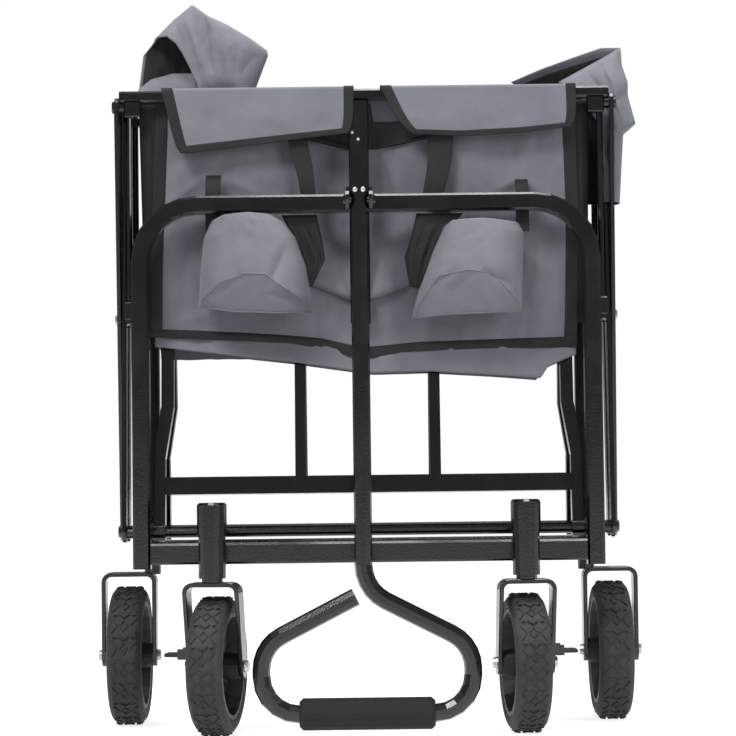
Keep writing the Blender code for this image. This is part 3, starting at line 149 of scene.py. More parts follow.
def powder_coated_steel():
    """Gloss black powder coat on steel tube: fine orange peel, dust that dulls it in patches.

    The peel's waves are about 2.4 mm long and the patches of dust about 40 mm.
    """
    material, tree, shader = blank_material("powder_coated_steel")
    place = add(tree, "ShaderNodeTexCoord").outputs["Object"]
    peel = add(tree, "ShaderNodeTexNoise", {"Vector": place, "Scale": 420.0, "Detail": 2.0})
    dust = add(
        tree, "ShaderNodeTexNoise",
        {"Vector": place, "Scale": 26.0, "Detail": 5.0, "Roughness": 0.65},
    )
    uneven_finish(
        tree, shader, dust.outputs["Fac"], (0.45, 0.75, "060607", "0e0e10"),
        (0.35, 0.75, 0.15, 0.27), (peel.outputs["Fac"], 0.00012, 1.0),
    )
    shader.inputs["IOR"].default_value = 1.5
    shader.inputs["Coat Weight"].default_value = 0.15
    shader.inputs["Coat Roughness"].default_value = 0.08
    return material


def zinc_plated_steel():
    """Bright zinc on rivets and bolts: faintly clouded, in spots of about 4 mm."""
    material, tree, shader = blank_material("zinc_plated_steel")
    place = add(tree, "ShaderNodeTexCoord").outputs["Object"]
    cloud = add(
        tree, "ShaderNodeTexNoise", {"Vector": place, "Scale": 240.0, "Detail": 3.0}
    ).outputs["Fac"]
    uneven_finish(
        tree, shader, cloud, (0.35, 0.7, "c9ccd0", "9b9ea3"), (0.3, 0.7, 0.22, 0.42),
        (cloud, 0.00005, 1.0),
    )
    shader.inputs["Metallic"].default_value = 1.0
    return material


def moulded_plastic(name, dark, light, roughness):
    """Injection-moulded plastic: spark-eroded grain of about 0.4 mm and paler scuffed spots."""
    material, tree, shader = blank_material(name)
    place = add(tree, "ShaderNodeTexCoord").outputs["Object"]
    grain = add(tree, "ShaderNodeTexVoronoi", {"Vector": place, "Scale": 2400.0})
    scuff = add(
        tree, "ShaderNodeTexNoise",
        {"Vector": place, "Scale": 60.0, "Detail": 6.0, "Roughness": 0.7},
    )
    uneven_finish(
        tree, shader, scuff.outputs["Fac"], (0.5, 0.8, dark, light),
        (0.3, 0.8, roughness, roughness + 0.18), (grain.outputs["Distance"], 0.00012, 0.6),
    )
    return material


def tyre_rubber():
    """Grey-black PVC tyre: matte skin with a 1 mm tooth, chalky dust in spots of about 22 mm."""
    material, tree, shader = blank_material("tyre_rubber")
    place = add(tree, "ShaderNodeTexCoord").outputs["Object"]
    fine = add(tree, "ShaderNodeTexNoise", {"Vector": place, "Scale": 900.0, "Detail": 2.0})
    dust = add(
        tree, "ShaderNodeTexNoise",
        {"Vector": place, "Scale": 45.0, "Detail": 6.0, "Roughness": 0.62},
    )
    uneven_finish(
        tree, shader, dust.outputs["Fac"], (0.38, 0.68, "29292b", "414042"),
        (0.3, 0.7, 0.62, 0.82), (fine.outputs["Fac"], 0.0002, 0.5),
    )
    return material


def closed_cell_foam():
    """Black EVA foam sleeve: soft skin with pinhole cells about 0.6 mm apart."""
    material, tree, shader = blank_material("closed_cell_foam")
    place = add(tree, "ShaderNodeTexCoord").outputs["Object"]
    cells = add(tree, "ShaderNodeTexVoronoi", {"Vector": place, "Scale": 1500.0})
    wear = add(tree, "ShaderNodeTexNoise", {"Vector": place, "Scale": 70.0, "Detail": 4.0})
    uneven_finish(
        tree, shader, wear.outputs["Fac"], (0.35, 0.7, "161617", "242425"),
        (0.3, 0.7, 0.78, 0.94), (cells.outputs["Distance"], 0.0003, 0.7),
    )
    return material


def woven_polyester(name, dark, light, thread=0.0011, sheen=0.25):
    """Coated 600D polyester: plain weave with painted shade between its threads, its tone varying
    in patches of about 60 mm.

    Its threads lie about 0.5 mm apart and are drawn at about twice that, to show at all.
    """
    material, tree, shader = blank_material(name)
    place = add(tree, "ShaderNodeTexCoord").outputs["Object"]
    threads = add(tree, "ShaderNodeUVMap", uv_map="weave").outputs["UV"]
    warp, weft = [
        add(
            tree, "ShaderNodeTexWave",
            {"Vector": threads, "Scale": 2 * math.pi / thread / WAVE_RATE, "Distortion": 1.2,
             "Detail": 1.0, "Detail Scale": 2.0},
            wave_type="BANDS", bands_direction=direction,
        ).outputs["Fac"]
        for direction in "XY"
    ]
    weave = add(tree, "ShaderNodeMath", {0: warp, 1: weft}, operation="MULTIPLY").outputs[0]
    shade = add(
        tree, "ShaderNodeTexNoise",
        {"Vector": place, "Scale": 16.0, "Detail": 5.0, "Roughness": 0.6},
    )
    cloth = uneven_finish(
        tree, shader, shade.outputs["Fac"], (0.3, 0.7, dark, light), (0.3, 0.7, 0.66, 0.82),
        (weave, 0.0003, 0.55),
    )
    # Painted shade between the threads: where the weave is low, the colour goes up to 30 percent
    # of the way to the dark tone.
    hollow = add(tree, "ShaderNodeMapRange", {"Value": weave, "To Min": 0.30, "To Max": 0.0})
    weave_gap_shading = add(
        tree, "ShaderNodeMix", {0: hollow.outputs["Result"], 6: cloth, 7: srgb(dark)},
        data_type="RGBA",
    )
    tree.links.new(weave_gap_shading.outputs[2], shader.inputs["Base Color"])
    shader.inputs["Sheen Weight"].default_value = sheen
    shader.inputs["Sheen Roughness"].default_value = 0.45
    return material


COATED_STEEL = powder_coated_steel()
ZINC = zinc_plated_steel()
LEVER_PLASTIC = moulded_plastic("lever_nylon", "121213", "202021", 0.38)
HUB_PLASTIC = moulded_plastic("hub_polypropylene", "151516", "262627", 0.42)
RUBBER = tyre_rubber()
FOAM = closed_cell_foam()
GREY_CLOTH = woven_polyester("grey_oxford_cloth", "6d6f78", "80828b")
# Darker copy of the grey cloth: painted shade on the side walls and floor gathered inside the bag.
SHADED_CLOTH = woven_polyester("grey_oxford_painted_shade", "4c4e56", "5b5d66")
# Near-black cloth: the side walls' bound edges, and painted shade in the gap under the flaps and
# inside the bulges.
DARK_CLOTH_AND_SHADE = woven_polyester("near_black_cloth_and_painted_shade", "08090b", "111215", sheen=0.02)
BINDING = woven_polyester("black_binding_tape", "08080a", "101012", thread=0.0016, sheen=0.03)
WEBBING = woven_polyester("black_webbing", "080809", "131315", thread=0.0022, sheen=0.03)
BLACK_NET = woven_polyester("black_netting", "060607", "1b1c1e", thread=0.0032, sheen=0.03)


def dress_cad_nodes():
    """Give each carried CAD node the finish of what it is made of."""
    for name, node in frame["nodes"].items():
        if name.startswith("tyre"):
            finish = RUBBER
        elif name.startswith("hub"):
            finish = HUB_PLASTIC
        elif name.startswith("brake"):
            finish = LEVER_PLASTIC
        elif name == "handle_grip":
            finish = FOAM
        elif name != "handle_pin" and ("_pin" in name or "axle" in name):
            finish = ZINC
        elif name.startswith(("bag_", "side_", "floor_cloth", "cup_")):
            finish = GREY_CLOTH
        else:
            finish = COATED_STEEL
        node.data.materials.clear()
        node.data.materials.append(finish)


dress_cad_nodes()


# Cloth: each piece is a grid of points with a UV map in metres, so that its weave follows it

CLOTH_THICKNESS = 0.0012
TAPE_THICKNESS = 0.0026
TAPE_EDGE = 0.0005
TAPE_LAP = 0.004


def between(low, high, share):
    """Value at a share of the way from low to high."""
    return low + (high - low) * share


def eased(low, high, value):
    """0 below low, 1 above high and a smooth rise between them."""
    share = min(max((value - low) / (high - low), 0.0), 1.0)
    return share * share * (3 - 2 * share)


def along(points, share):
    """Point at a share of a polyline's length."""
    runs = [math.dist(a, b) for a, b in zip(points, points[1:])]
    left = min(max(share, 0.0), 1.0) * sum(runs)
    for run, a, b in zip(runs, points, points[1:]):
        if left <= run or b == points[-1]:
            t = min(left / run, 1.0) if run else 0.0
            return tuple(between(p, q, t) for p, q in zip(a, b))
        left -= run


def rounded_line(points):
    """Polyline with its corners cut twice, so that cloth and tape bend round them."""
    for _ in range(2):
        made = [points[0]]
        for a, b in zip(points, points[1:]):
            made.append(tuple(between(p, q, 0.25) for p, q in zip(a, b)))
            made.append(tuple(between(p, q, 0.75) for p, q in zip(a, b)))
        points = [*made, points[-1]]
    return points


def height_of(line, x):
    """Height of a line of (x, z) points at x."""
    for (x0, z0), (x1, z1) in zip(line, line[1:]):
        if x <= x1 or (x1, z1) == line[-1]:
            return between(z0, z1, min(max((x - x0) / (x1 - x0), 0.0), 1.0))


def side_of(line, z):
    """Place across of a line of (x, z) points, low to high, at height z."""
    return height_of([(p[1], p[0]) for p in line], z)


def cut_between(cut):
    """Cloth cut to four edges, which are lines of (x, z) points: gives (x, z) at (u, v)."""
    bottom, top, left, right = (cut[edge] for edge in ("low", "top", "left", "right"))

    def place(u, v):
        low, high = along(bottom, u), along(top, u)
        start, end = along(left, v), along(right, v)
        return tuple(
            (1 - v) * low[k] + v * high[k] + (1 - u) * start[k] + u * end[k]
            - (1 - u) * (1 - v) * bottom[0][k] - u * (1 - v) * bottom[-1][k]
            - (1 - u) * v * top[0][k] - u * v * top[-1][k]
            for k in (0, 1)
        )
    return place


def crumple(across, up, size, seed, stretch=1.0):
    """Soft relief from about -1 to 1, with folds of the given size drawn out upwards."""
    spot = Vector((across / size, up / size / stretch, seed * 7.3))
    return noise.fractal(spot, 0.9, 2.0, 3)


def crease(u, v, start, end, width):
    """A sharp fold from start to end: 1 on its line, fading over its width and at its ends."""
    run = (end[0] - start[0], end[1] - start[1])
    size = math.hypot(*run)
    share = ((u - start[0]) * run[0] + (v - start[1]) * run[1]) / size ** 2
    off = abs((u - start[0]) * run[1] - (v - start[1]) * run[0]) / size
    ends = math.sin(math.pi * min(max(share, 0.0), 1.0)) ** 0.5
    return ends * math.exp(-((off / width) ** 1.3))


def placed(name, data):
    """A new object at the origin."""
    made = bpy.data.objects.new(name, data)
    bpy.context.collection.objects.link(made)
    return made


def skin(bm, rings):
    """Faces between each ring of vertices and the next."""
    return [
        bm.faces.new((near[i], near[(i + 1) % len(near)], far[(i + 1) % len(near)], far[i]))
        for near, far in zip(rings, rings[1:]) for i in range(len(near))
    ]


def mesh_piece(name, bm, finish, sharp=None):
    """Object from a bmesh, its faces turned outwards; sharp is the angle that stays an edge."""
    bmesh.ops.recalc_face_normals(bm, faces=bm.faces)
    mesh = bpy.data.meshes.new(name)
    bm.to_mesh(mesh)
    bm.free()
    if sharp:
        mesh.shade_smooth()
        mesh.set_sharp_from_angle(angle=math.radians(sharp))
    mesh.materials.append(finish)
    return placed(name, mesh)


def cloth_piece(name, patches, finish, thick=CLOTH_THICKNESS, edge=0.0):
    """One cloth object from (columns, rows, place) patches, where place(u, v) is a point."""
    verts, faces, weave = [], [], []
    for columns, rows, place in patches:
        first = len(verts)
        grid = [
            [Vector(place(i / columns, j / rows)) for i in range(columns + 1)]
            for j in range(rows + 1)
        ]
        run = [0.0]
        for a, b in zip(grid[rows // 2], grid[rows // 2][1:]):
            run.append(run[-1] + (b - a).length)
        rise = [[0.0] * (columns + 1)]
        for below, above in zip(grid, grid[1:]):
            rise.append([r + (b - a).length for r, a, b in zip(rise[-1], below, above)])
        for j, line in enumerate(grid):
            for i, point in enumerate(line):
                verts.append(point)
                weave.append((run[i], rise[j][i]))
        wide = columns + 1
        for j in range(rows):
            for i in range(columns):
                a = first + j * wide + i
                faces.append((a, a + 1, a + wide + 1, a + wide))
    mesh = bpy.data.meshes.new(name)
    mesh.from_pydata(verts, [], faces)
    layer = mesh.uv_layers.new(name="weave")
    for loop in mesh.loops:
        layer.data[loop.index].uv = weave[loop.vertex_index]
    mesh.shade_smooth()
    mesh.materials.append(finish)
    piece = placed(name, mesh)
    wall = piece.modifiers.new("wall", "SOLIDIFY")
    wall.thickness = thick
    wall.offset = 0.0
    if edge:
        soften = piece.modifiers.new("soft_edge", "BEVEL")
        soften.width = edge
        soften.segments = 2
        soften.limit_method = "ANGLE"
        soften.angle_limit = math.radians(60)
    return piece


def bound_edges(name, place, columns, rows, left, right, low=0.0):
    """Black tape folded over a cloth's edges; left, right and low are shares of the cloth."""
    strips = [
        (3, rows, lambda u, v: place(u * left, v)),
        (3, rows, lambda u, v: place(1 - right + u * right, v)),
    ]
    if low:
        strips.append((columns, 3, lambda u, v: place(u, v * low)))
    return cloth_piece(name, strips, BINDING, thick=TAPE_THICKNESS, edge=TAPE_EDGE)


def lay_sheet(piece):
    """Work out the width and length that a piece was cut to, from its weave map and its area; they
    are not used.
    """
    mesh = piece.data
    uv = mesh.uv_layers["weave"].data
    width = max(point.uv[0] for point in uv)
    length = max(point.uv[1] for point in uv)
    area = sum(face.area for face in mesh.polygons)
    width, length = max(width, area / length), max(length, area / width)


def inset(place, side=0.004, low=0.006, high=0.0):
    """The same cloth a little inside its edges, so that its tape covers them."""
    return lambda u, v: place(between(side, 1 - side, u), between(low, 1 - high, v))


def behind_mirror(place):
    """The same cloth at the rear, where the wagon repeats its front half back to front."""
    middle = PIVOT_Y + REAR_PIVOT_Y

    def mirrored(u, v):
        x, y, z = place(u, v)
        return (x, middle - y, z)
    return mirrored


# Front and rear panels, hung from the top rails

PANEL_TOP_Z = RAIL_TOP_Z - 0.003
PANEL_LEFT = ((-0.2515, 0.4500), (-0.2500, 0.5200), (-0.2470, 0.6130), (-0.2420, PANEL_TOP_Z))
PANEL_RIGHT = ((0.2440, 0.4500), (0.2460, 0.5200), (0.2480, 0.6000), (0.2450, PANEL_TOP_Z))
TAPE_TOP_LINE = (
    (-0.2500, 0.4640), (-0.1929, 0.4611), (-0.1003, 0.4553), (-0.0540, 0.4512), (-0.0194, 0.4430),
    (0.0061, 0.4405), (0.0617, 0.4452), (0.1545, 0.4475), (0.2440, 0.4495),
)
TAPE_LOW_LINE = (
    (-0.2515, 0.4550), (-0.0890, 0.4462), (-0.0430, 0.4372), (-0.0170, 0.4288), (0.0060, 0.4273),
    (0.0380, 0.4339), (0.1310, 0.4374), (0.2440, 0.4374),
)
STRIP_LOW_LINE = (
    (-0.2460, 0.4435), (-0.1940, 0.4370), (-0.0890, 0.4242), (-0.0200, 0.4140), (0.0060, 0.4102),
    (0.0730, 0.4112), (0.1500, 0.4060), (0.2011, 0.4016), (0.2094, 0.4150), (0.2430, 0.4290),
)
FOLD_LINE = (
    (-0.0780, 0.5210), (-0.0636, 0.5136), (-0.0164, 0.4945), (0.0067, 0.4942), (0.0497, 0.5110),
    (0.0700, 0.5200),
)
PULLED_FOLDS = (
    ((-0.185, 0.640), (-0.236, 0.606), 0.005), ((-0.170, 0.640), (-0.120, 0.618), 0.006),
    ((0.182, 0.632), (0.150, 0.622), 0.005), ((0.188, 0.632), (0.225, 0.600), 0.007),
    ((0.170, 0.560), (0.215, 0.520), 0.008), ((0.020, 0.668), (0.045, 0.610), 0.007),
    ((-0.230, 0.470), (-0.060, 0.505), 0.008),
)
PULL_DEPTH = 0.0028
HOLLOW_X, HOLLOW_HALF_WIDTH = -0.005, 0.066
HOLLOW_Z, HOLLOW_HALF_HEIGHT = 0.625, 0.085
HOLLOW_DEPTH = 0.019
BELLY_FOOT_Z = 0.44
BELLY_HEIGHT = 0.17
BELLY_DEPTH = 0.006
TAUT_BELOW_RAIL = 0.03
PANEL_SLACK = 0.002
FOLD_HEIGHT = 0.060
FOLD_DEPTH = 0.0105
FOLD_CLEARANCE = 0.0016


def panel_depth(x, z):
    """Face of the panel: drawn in at the middle, wrinkled where its tapes pull on it."""
    near = math.exp(-((x - HOLLOW_X) / HOLLOW_HALF_WIDTH) ** 4)
    hollow = near * math.exp(-((z - HOLLOW_Z) / HOLLOW_HALF_HEIGHT) ** 4)
    folds = crumple(x, z, 0.036, 1, 4.0) * 0.0034 + crumple(x, z, 0.022, 5, 1.4) * 0.0013
    rise = min(max((z - BELLY_FOOT_Z) / BELLY_HEIGHT, 0.0), 1.0)
    belly = BELLY_DEPTH * math.sin(math.pi * rise)
    loose = eased(0.0, TAUT_BELOW_RAIL, PANEL_TOP_Z - z)
    pulled = PULL_DEPTH * sum(crease(x, z, *fold) for fold in PULLED_FOLDS)
    return (
        PANEL_FACE_Y + PANEL_SLACK + HOLLOW_DEPTH * hollow
        - loose * (folds + belly * (1 - near * 0.6) + pulled)
    )


def fold_place(u, v):
    """Slack at the middle of the panel, which hangs in a fold over the lower half."""
    x = between(FOLD_LINE[0][0], FOLD_LINE[-1][0], u)
    low = height_of(FOLD_LINE, x)
    z = between(low, low + FOLD_HEIGHT, v)
    ends = max(math.sin(math.pi * u), 0.0) ** 0.6
    out = FOLD_DEPTH * (1 - v) ** 1.2 * ends
    under = 0.006 * max(1 - v / 0.10, 0.0) ** 2 * ends
    soft = crumple(x, z, 0.02, 51) * 0.001
    return (x, panel_depth(x, z) - FOLD_CLEARANCE - out + under + soft, z)


def panel_place(u, v):
    """Panel from behind its foot tape up to the rail."""
    foot_x = between(TAPE_TOP_LINE[0][0], TAPE_TOP_LINE[-1][0], u)
    z = between(height_of(TAPE_TOP_LINE, foot_x) - TAPE_LAP, PANEL_TOP_Z, v)
    x = between(side_of(PANEL_LEFT, z), side_of(PANEL_RIGHT, z), u)
    return (x, panel_depth(x, z), z)


def tape_place(u, v):
    """Black tape that binds the panel's lower edge, rolled a little at its foot."""
    x = between(-0.2508, 0.2440, u)
    z = between(height_of(TAPE_LOW_LINE, x), height_of(TAPE_TOP_LINE, x), v)
    return (x, panel_depth(x, height_of(TAPE_TOP_LINE, x)) - 0.0012 * math.sin(math.pi * v), z)


def strip_place(u, v):
    """Hem of the bag's floor, showing under the panel."""
    x = between(-0.2455, 0.2425, u)
    z = between(height_of(STRIP_LOW_LINE, x), height_of(TAPE_LOW_LINE, x) + TAPE_LAP, v)
    wave = crumple(x, z, 0.045, 9) * 0.0022
    return (x, PANEL_FACE_Y + 0.0030 + wave - 0.004 * (1 - v) ** 2, z)


# How the cloth of each end is placed
ENDS = {"front": lambda place: place, "rear": behind_mirror}


def dressed_panel(end, columns):
    """Panel, its side and foot tapes, its fold and the floor's hem, on one of the top rails."""
    turn = ENDS[end]
    cloth = cloth_piece(
        f"{end}_panel_cloth", [(columns, columns * 3 // 5, turn(inset(panel_place)))], GREY_CLOTH
    )
    sides = bound_edges(
        f"{end}_panel_side_tape", turn(panel_place), 3, columns // 2, left=0.030, right=0.030
    )
    foot = cloth_piece(
        f"{end}_panel_foot_tape", [(columns, 6, turn(tape_place))], BINDING,
        thick=TAPE_THICKNESS, edge=TAPE_EDGE,
    )
    hem = cloth_piece(f"{end}_floor_hem", [(columns, 8, turn(strip_place))], GREY_CLOTH)
    fold = cloth_piece(f"{end}_panel_fold", [(48, 24, turn(fold_place))], GREY_CLOTH)
    for piece in (cloth, sides, foot, hem, fold):
        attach(piece, f"{end}_rail")
    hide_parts(f"bag_{end}_panel")
    lay_sheet(fold)
    lay_sheet(cloth)
    lay_sheet(hem)


dressed_panel("front", 150)
dressed_panel("rear", 80)

GAP_LOW_LINE = (
    (-0.0740, 0.6850), (-0.0189, 0.6727), (0.0147, 0.6734), (0.0560, 0.6800), (0.1080, 0.6865),
)
GAP_TOP_LINE = (
    (-0.0740, 0.7250), (0.0080, 0.7240), (0.0093, 0.7030), (0.0330, 0.7030), (0.0600, 0.7080),
    (0.1080, 0.7080),
)


def gap_place(u, v):
    """Near-black sheet between the flaps and the panel's bound top edge: painted shade for the
    inside of the bag seen there.
    """
    x = between(GAP_LOW_LINE[0][0], GAP_LOW_LINE[-1][0], u)
    low = height_of(GAP_LOW_LINE, x)
    z = between(low, max(height_of(GAP_TOP_LINE, x), low + 0.001), v)
    roll = math.exp(-((v - 0.06) / 0.06) ** 2) * 0.0022
    return (x, panel_depth(x, z) - 0.0030 - roll, z)


# Painted shade: a near-black sheet in the gap under the flaps.
gap_shade_sheet = cloth_piece("front_panel_top_gap", [(60, 24, gap_place)], DARK_CLOTH_AND_SHADE, thick=0.0010)
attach(gap_shade_sheet, "front_rail")
lay_sheet(gap_shade_sheet)


# Flaps over the top rails

FLAP_CLEARANCE = 0.0016
FLAP_TOP_Z = RAIL_TOP_Z + FLAP_CLEARANCE
LEFT_FLAP = {
    "top": ((-0.2345, FLAP_TOP_Z), (-0.0115, FLAP_TOP_Z)),
    "left": ((-0.2125, 0.6660), (-0.2190, 0.6760), (-0.2345, FLAP_TOP_Z)),
    "right": ((-0.0185, 0.6870), (-0.0125, 0.6990), (-0.0115, FLAP_TOP_Z)),
    "low": ((-0.2125, 0.6660), (-0.2000, 0.6655), (-0.0900, 0.6790), (-0.0185, 0.6870)),
}
RIGHT_FLAP = {
    "top": ((0.0189, FLAP_TOP_Z), (0.2455, FLAP_TOP_Z)),
    "left": ((0.0560, 0.6850), (0.0380, 0.7010), (0.0189, FLAP_TOP_Z)),
    "right": ((0.2385, 0.6915), (0.2455, 0.7030), (0.2455, FLAP_TOP_Z)),
    "low": ((0.0560, 0.6850), (0.1150, 0.6820), (0.1800, 0.6850), (0.2385, 0.6915)),
}
# Share of a flap that lies on and behind the rail, and of that the share on its top
TURN_OVER = 0.18
ON_TOP = 0.55
BEHIND_DROP = 0.012
FLAP_LIFT = 0.0012


def flap_place(cut, seed):
    """Flap from behind the rail, over its top and down its front to a free edge."""
    front = cut_between(
        {**cut, "left": rounded_line(cut["left"]), "right": rounded_line(cut["right"])}
    )

    def place(u, v):
        if v > 1 - TURN_OVER:
            back = (v - 1 + TURN_OVER) / TURN_OVER
            x, top = front(u, 1.0)
            over = min(back / ON_TOP, 1.0)
            drop = max((back - ON_TOP) / (1 - ON_TOP), 0.0)
            crown = 0.0012 * math.sin(math.pi * over)
            y = between(RAIL_FRONT_Y - FLAP_CLEARANCE, RAIL_BACK_Y + 0.0010, over)
            return (x, y, top + crown - BEHIND_DROP * drop)
        x, z = front(u, v / (1 - TURN_OVER))
        free = eased(0.0, 0.045, FLAP_TOP_Z - z)
        wave = crumple(x, z, 0.050, seed, 0.8) * 0.0012 + crumple(x, z, 0.020, seed + 1) * 0.0004
        return (x, RAIL_FRONT_Y - FLAP_CLEARANCE - free * (FLAP_LIFT + wave), z)
    return place


def dressed_flap(end, side, cut, seed, tape_share):
    """Flap with black tape on its free edges; tape_share is the left tape's share of it."""
    place = ENDS[end](flap_place(cut, seed))
    cloth = cloth_piece(f"{end}_{side}_flap_cloth", [(70, 40, inset(place))], GREY_CLOTH)
    tape = bound_edges(
        f"{end}_{side}_flap_tape", place, 60, 36, left=tape_share, right=0.052, low=0.108
    )
    for piece in (cloth, tape):
        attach(piece, f"{end}_rail")
    lay_sheet(cloth)


for end, left_seed, right_seed in (("front", 11, 14), ("rear", 17, 19)):
    dressed_flap(end, "left", LEFT_FLAP, left_seed, 0.060)
    dressed_flap(end, "right", RIGHT_FLAP, right_seed, 0.058)


# Cup pouches on the front hoop, their mesh sides and the tapes that hold them

POUCH_BACK_Y = HOOP_BACK_Y - 0.0015
POUCH_DEPTH = 0.004
BASE_SWELL = 0.0240
FULL_SWELL = 0.0400
TOP_TAPER = 0.016
LEFT_POUCH = {
    "low": ((-0.1912, 0.4868), (-0.1500, 0.4800), (-0.1000, 0.4778), (-0.0625, 0.4790)),
    "top": ((-0.1765, 0.5845), (-0.1600, 0.5905), (-0.1334, 0.5930), (-0.1052, 0.5905)),
    "left": ((-0.1912, 0.4868), (-0.1895, 0.5200), (-0.1850, 0.5640), (-0.1765, 0.5845)),
    "right": (
        (-0.0625, 0.4790), (-0.0640, 0.4990), (-0.0680, 0.5300), (-0.0795, 0.5642),
        (-0.0930, 0.5830), (-0.1052, 0.5905),
    ),
    "seam": ((0.0, 0.045), (0.20, 0.270), (0.42, 0.355), (0.62, 0.345), (1.0, 0.050)),
}
RIGHT_POUCH = {
    "low": ((0.0526, 0.4705), (0.0911, 0.4740), (0.1350, 0.4752), (0.1775, 0.4775)),
    "top": ((0.0900, 0.5745), (0.1000, 0.5815), (0.1350, 0.5830), (0.1748, 0.5790)),
    "left": ((0.0526, 0.4705), (0.0620, 0.5050), (0.0780, 0.5480), (0.0900, 0.5745)),
    "right": ((0.1775, 0.4775), (0.1790, 0.5200), (0.1810, 0.5680), (0.1748, 0.5790)),
    "seam": ((0.0, 0.060), (0.16, 0.400), (0.45, 0.440), (0.70, 0.400), (1.0, 0.060)),
}


def pouch_place(cut, seed, creases):
    """Pouch front: a slack half round over a base that tucks back under a seam."""
    flat = cut_between(cut)

    def place(u, v):
        x, z = flat(u, v)
        seam = height_of(cut["seam"], u)
        under = min(v / seam, 1.0)
        over = max((v - seam) / (1 - seam), 0.0)
        swell = between(BASE_SWELL, FULL_SWELL, under ** 0.8) - TOP_TAPER * over ** 1.4
        side = (1 - abs(2 * u - 1) ** 3.2) ** 0.55
        folds = sum(depth * crease(u, v, a, b, wide) for a, b, wide, depth in creases)
        soft = crumple(u, v, 0.42, seed, 1.3) * 0.0022 + crumple(u, v, 0.16, seed + 1) * 0.0007
        return (x, POUCH_BACK_Y - POUCH_DEPTH - swell * side + folds + soft * side, z)
    return place


CORD_SIDES = 6
SEAM_STEPS = 40
SEAM_RADIUS = 0.0009
PIPING_RADIUS = 0.0013
PIPING_SIDE_STEPS = 24
PIPING_FOOT_STEPS = 30


def seam_cord(name, points, radius):
    """Grey piping or seam along a line of points: a closed round section with a UV map."""
    bm = bmesh.new()
    layer = bm.loops.layers.uv.new("weave")
    rings, runs = [], [0.0]
    for i, point in enumerate(points):
        ahead = Vector(points[min(i + 1, len(points) - 1)]) - Vector(points[max(i - 1, 0)])
        ahead.normalize()
        side = ahead.cross(Vector((0, -1, 0.02))).normalized()
        up = side.cross(ahead)
        rings.append([
            bm.verts.new(Vector(point) + radius * (side * math.cos(a) + up * math.sin(a)))
            for a in (2 * math.pi * k / CORD_SIDES for k in range(CORD_SIDES))
        ])
        if i:
            runs.append(runs[-1] + math.dist(points[i - 1], point))
    for index, face in enumerate(skin(bm, rings)):
        i, k = divmod(index, CORD_SIDES)
        face.smooth = True
        corners = ((k, runs[i]), (k + 1, runs[i]), (k + 1, runs[i + 1]), (k, runs[i + 1]))
        for loop, (step, length) in zip(face.loops, corners):
            loop[layer].uv = (step * radius, length)
    bm.faces.new(rings[0][::-1])
    bm.faces.new(rings[-1])
    return mesh_piece(name, bm, GREY_CLOTH)


def back_place(cut):
    """Back of a pouch: the same outline, laid flat against the hoop's back."""
    flat = cut_between(cut)

    def place(u, v):
        x, z = flat(u, v)
        return (x, POUCH_BACK_Y - 0.0025 - 0.002 * math.sin(math.pi * u), z)
    return place


def net_place(cut, seed):
    """Black netting that hangs in gathers beside a pouch."""
    flat = cut_between(cut)

    def place(u, v):
        x, z = flat(u, v)
        gather = math.sin(u * 17 + v * 3) * 0.0016 * math.sin(math.pi * v)
        return (x, POUCH_BACK_Y - 0.0055 + gather + crumple(x, z, 0.02, seed) * 0.0015, z)
    return place


def dressed_pouch(side, cut, seed, creases, net_cut):
    """Pouch front and back, the cord of its seam, the piping round its foot and its netting."""
    place = pouch_place(cut, seed, creases)
    front = cloth_piece(f"cup_pouch_{side}_cloth", [(56, 56, place)], GREY_CLOTH)
    back = cloth_piece(f"cup_pouch_{side}_back", [(12, 12, back_place(cut))], BLACK_NET)
    shares = [i / SEAM_STEPS for i in range(1, SEAM_STEPS)]
    seam_points = [Vector(place(u, height_of(cut["seam"], u))) for u in shares]
    seam = seam_cord(
        f"cup_pouch_{side}_seam", [point + Vector((0, -0.0006, 0)) for point in seam_points],
        SEAM_RADIUS,
    )
    down = [place(0.0, 1 - i / PIPING_SIDE_STEPS) for i in range(PIPING_SIDE_STEPS + 1)]
    foot = [place(i / PIPING_FOOT_STEPS, 0.0) for i in range(1, PIPING_FOOT_STEPS + 1)]
    up = [place(1.0, i / PIPING_SIDE_STEPS) for i in range(1, PIPING_SIDE_STEPS + 1)]
    piping = seam_cord(f"cup_pouch_{side}_piping", down + foot + up, PIPING_RADIUS)
    net = cloth_piece(f"cup_pouch_{side}_net", [(16, 20, net_place(net_cut, seed))], BLACK_NET)
    for piece in (front, back, seam, piping, net):
        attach(piece, "front_frame")
    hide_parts(f"cup_pouch_{side}")
    lay_sheet(front)
    lay_sheet(back)
    lay_sheet(net)


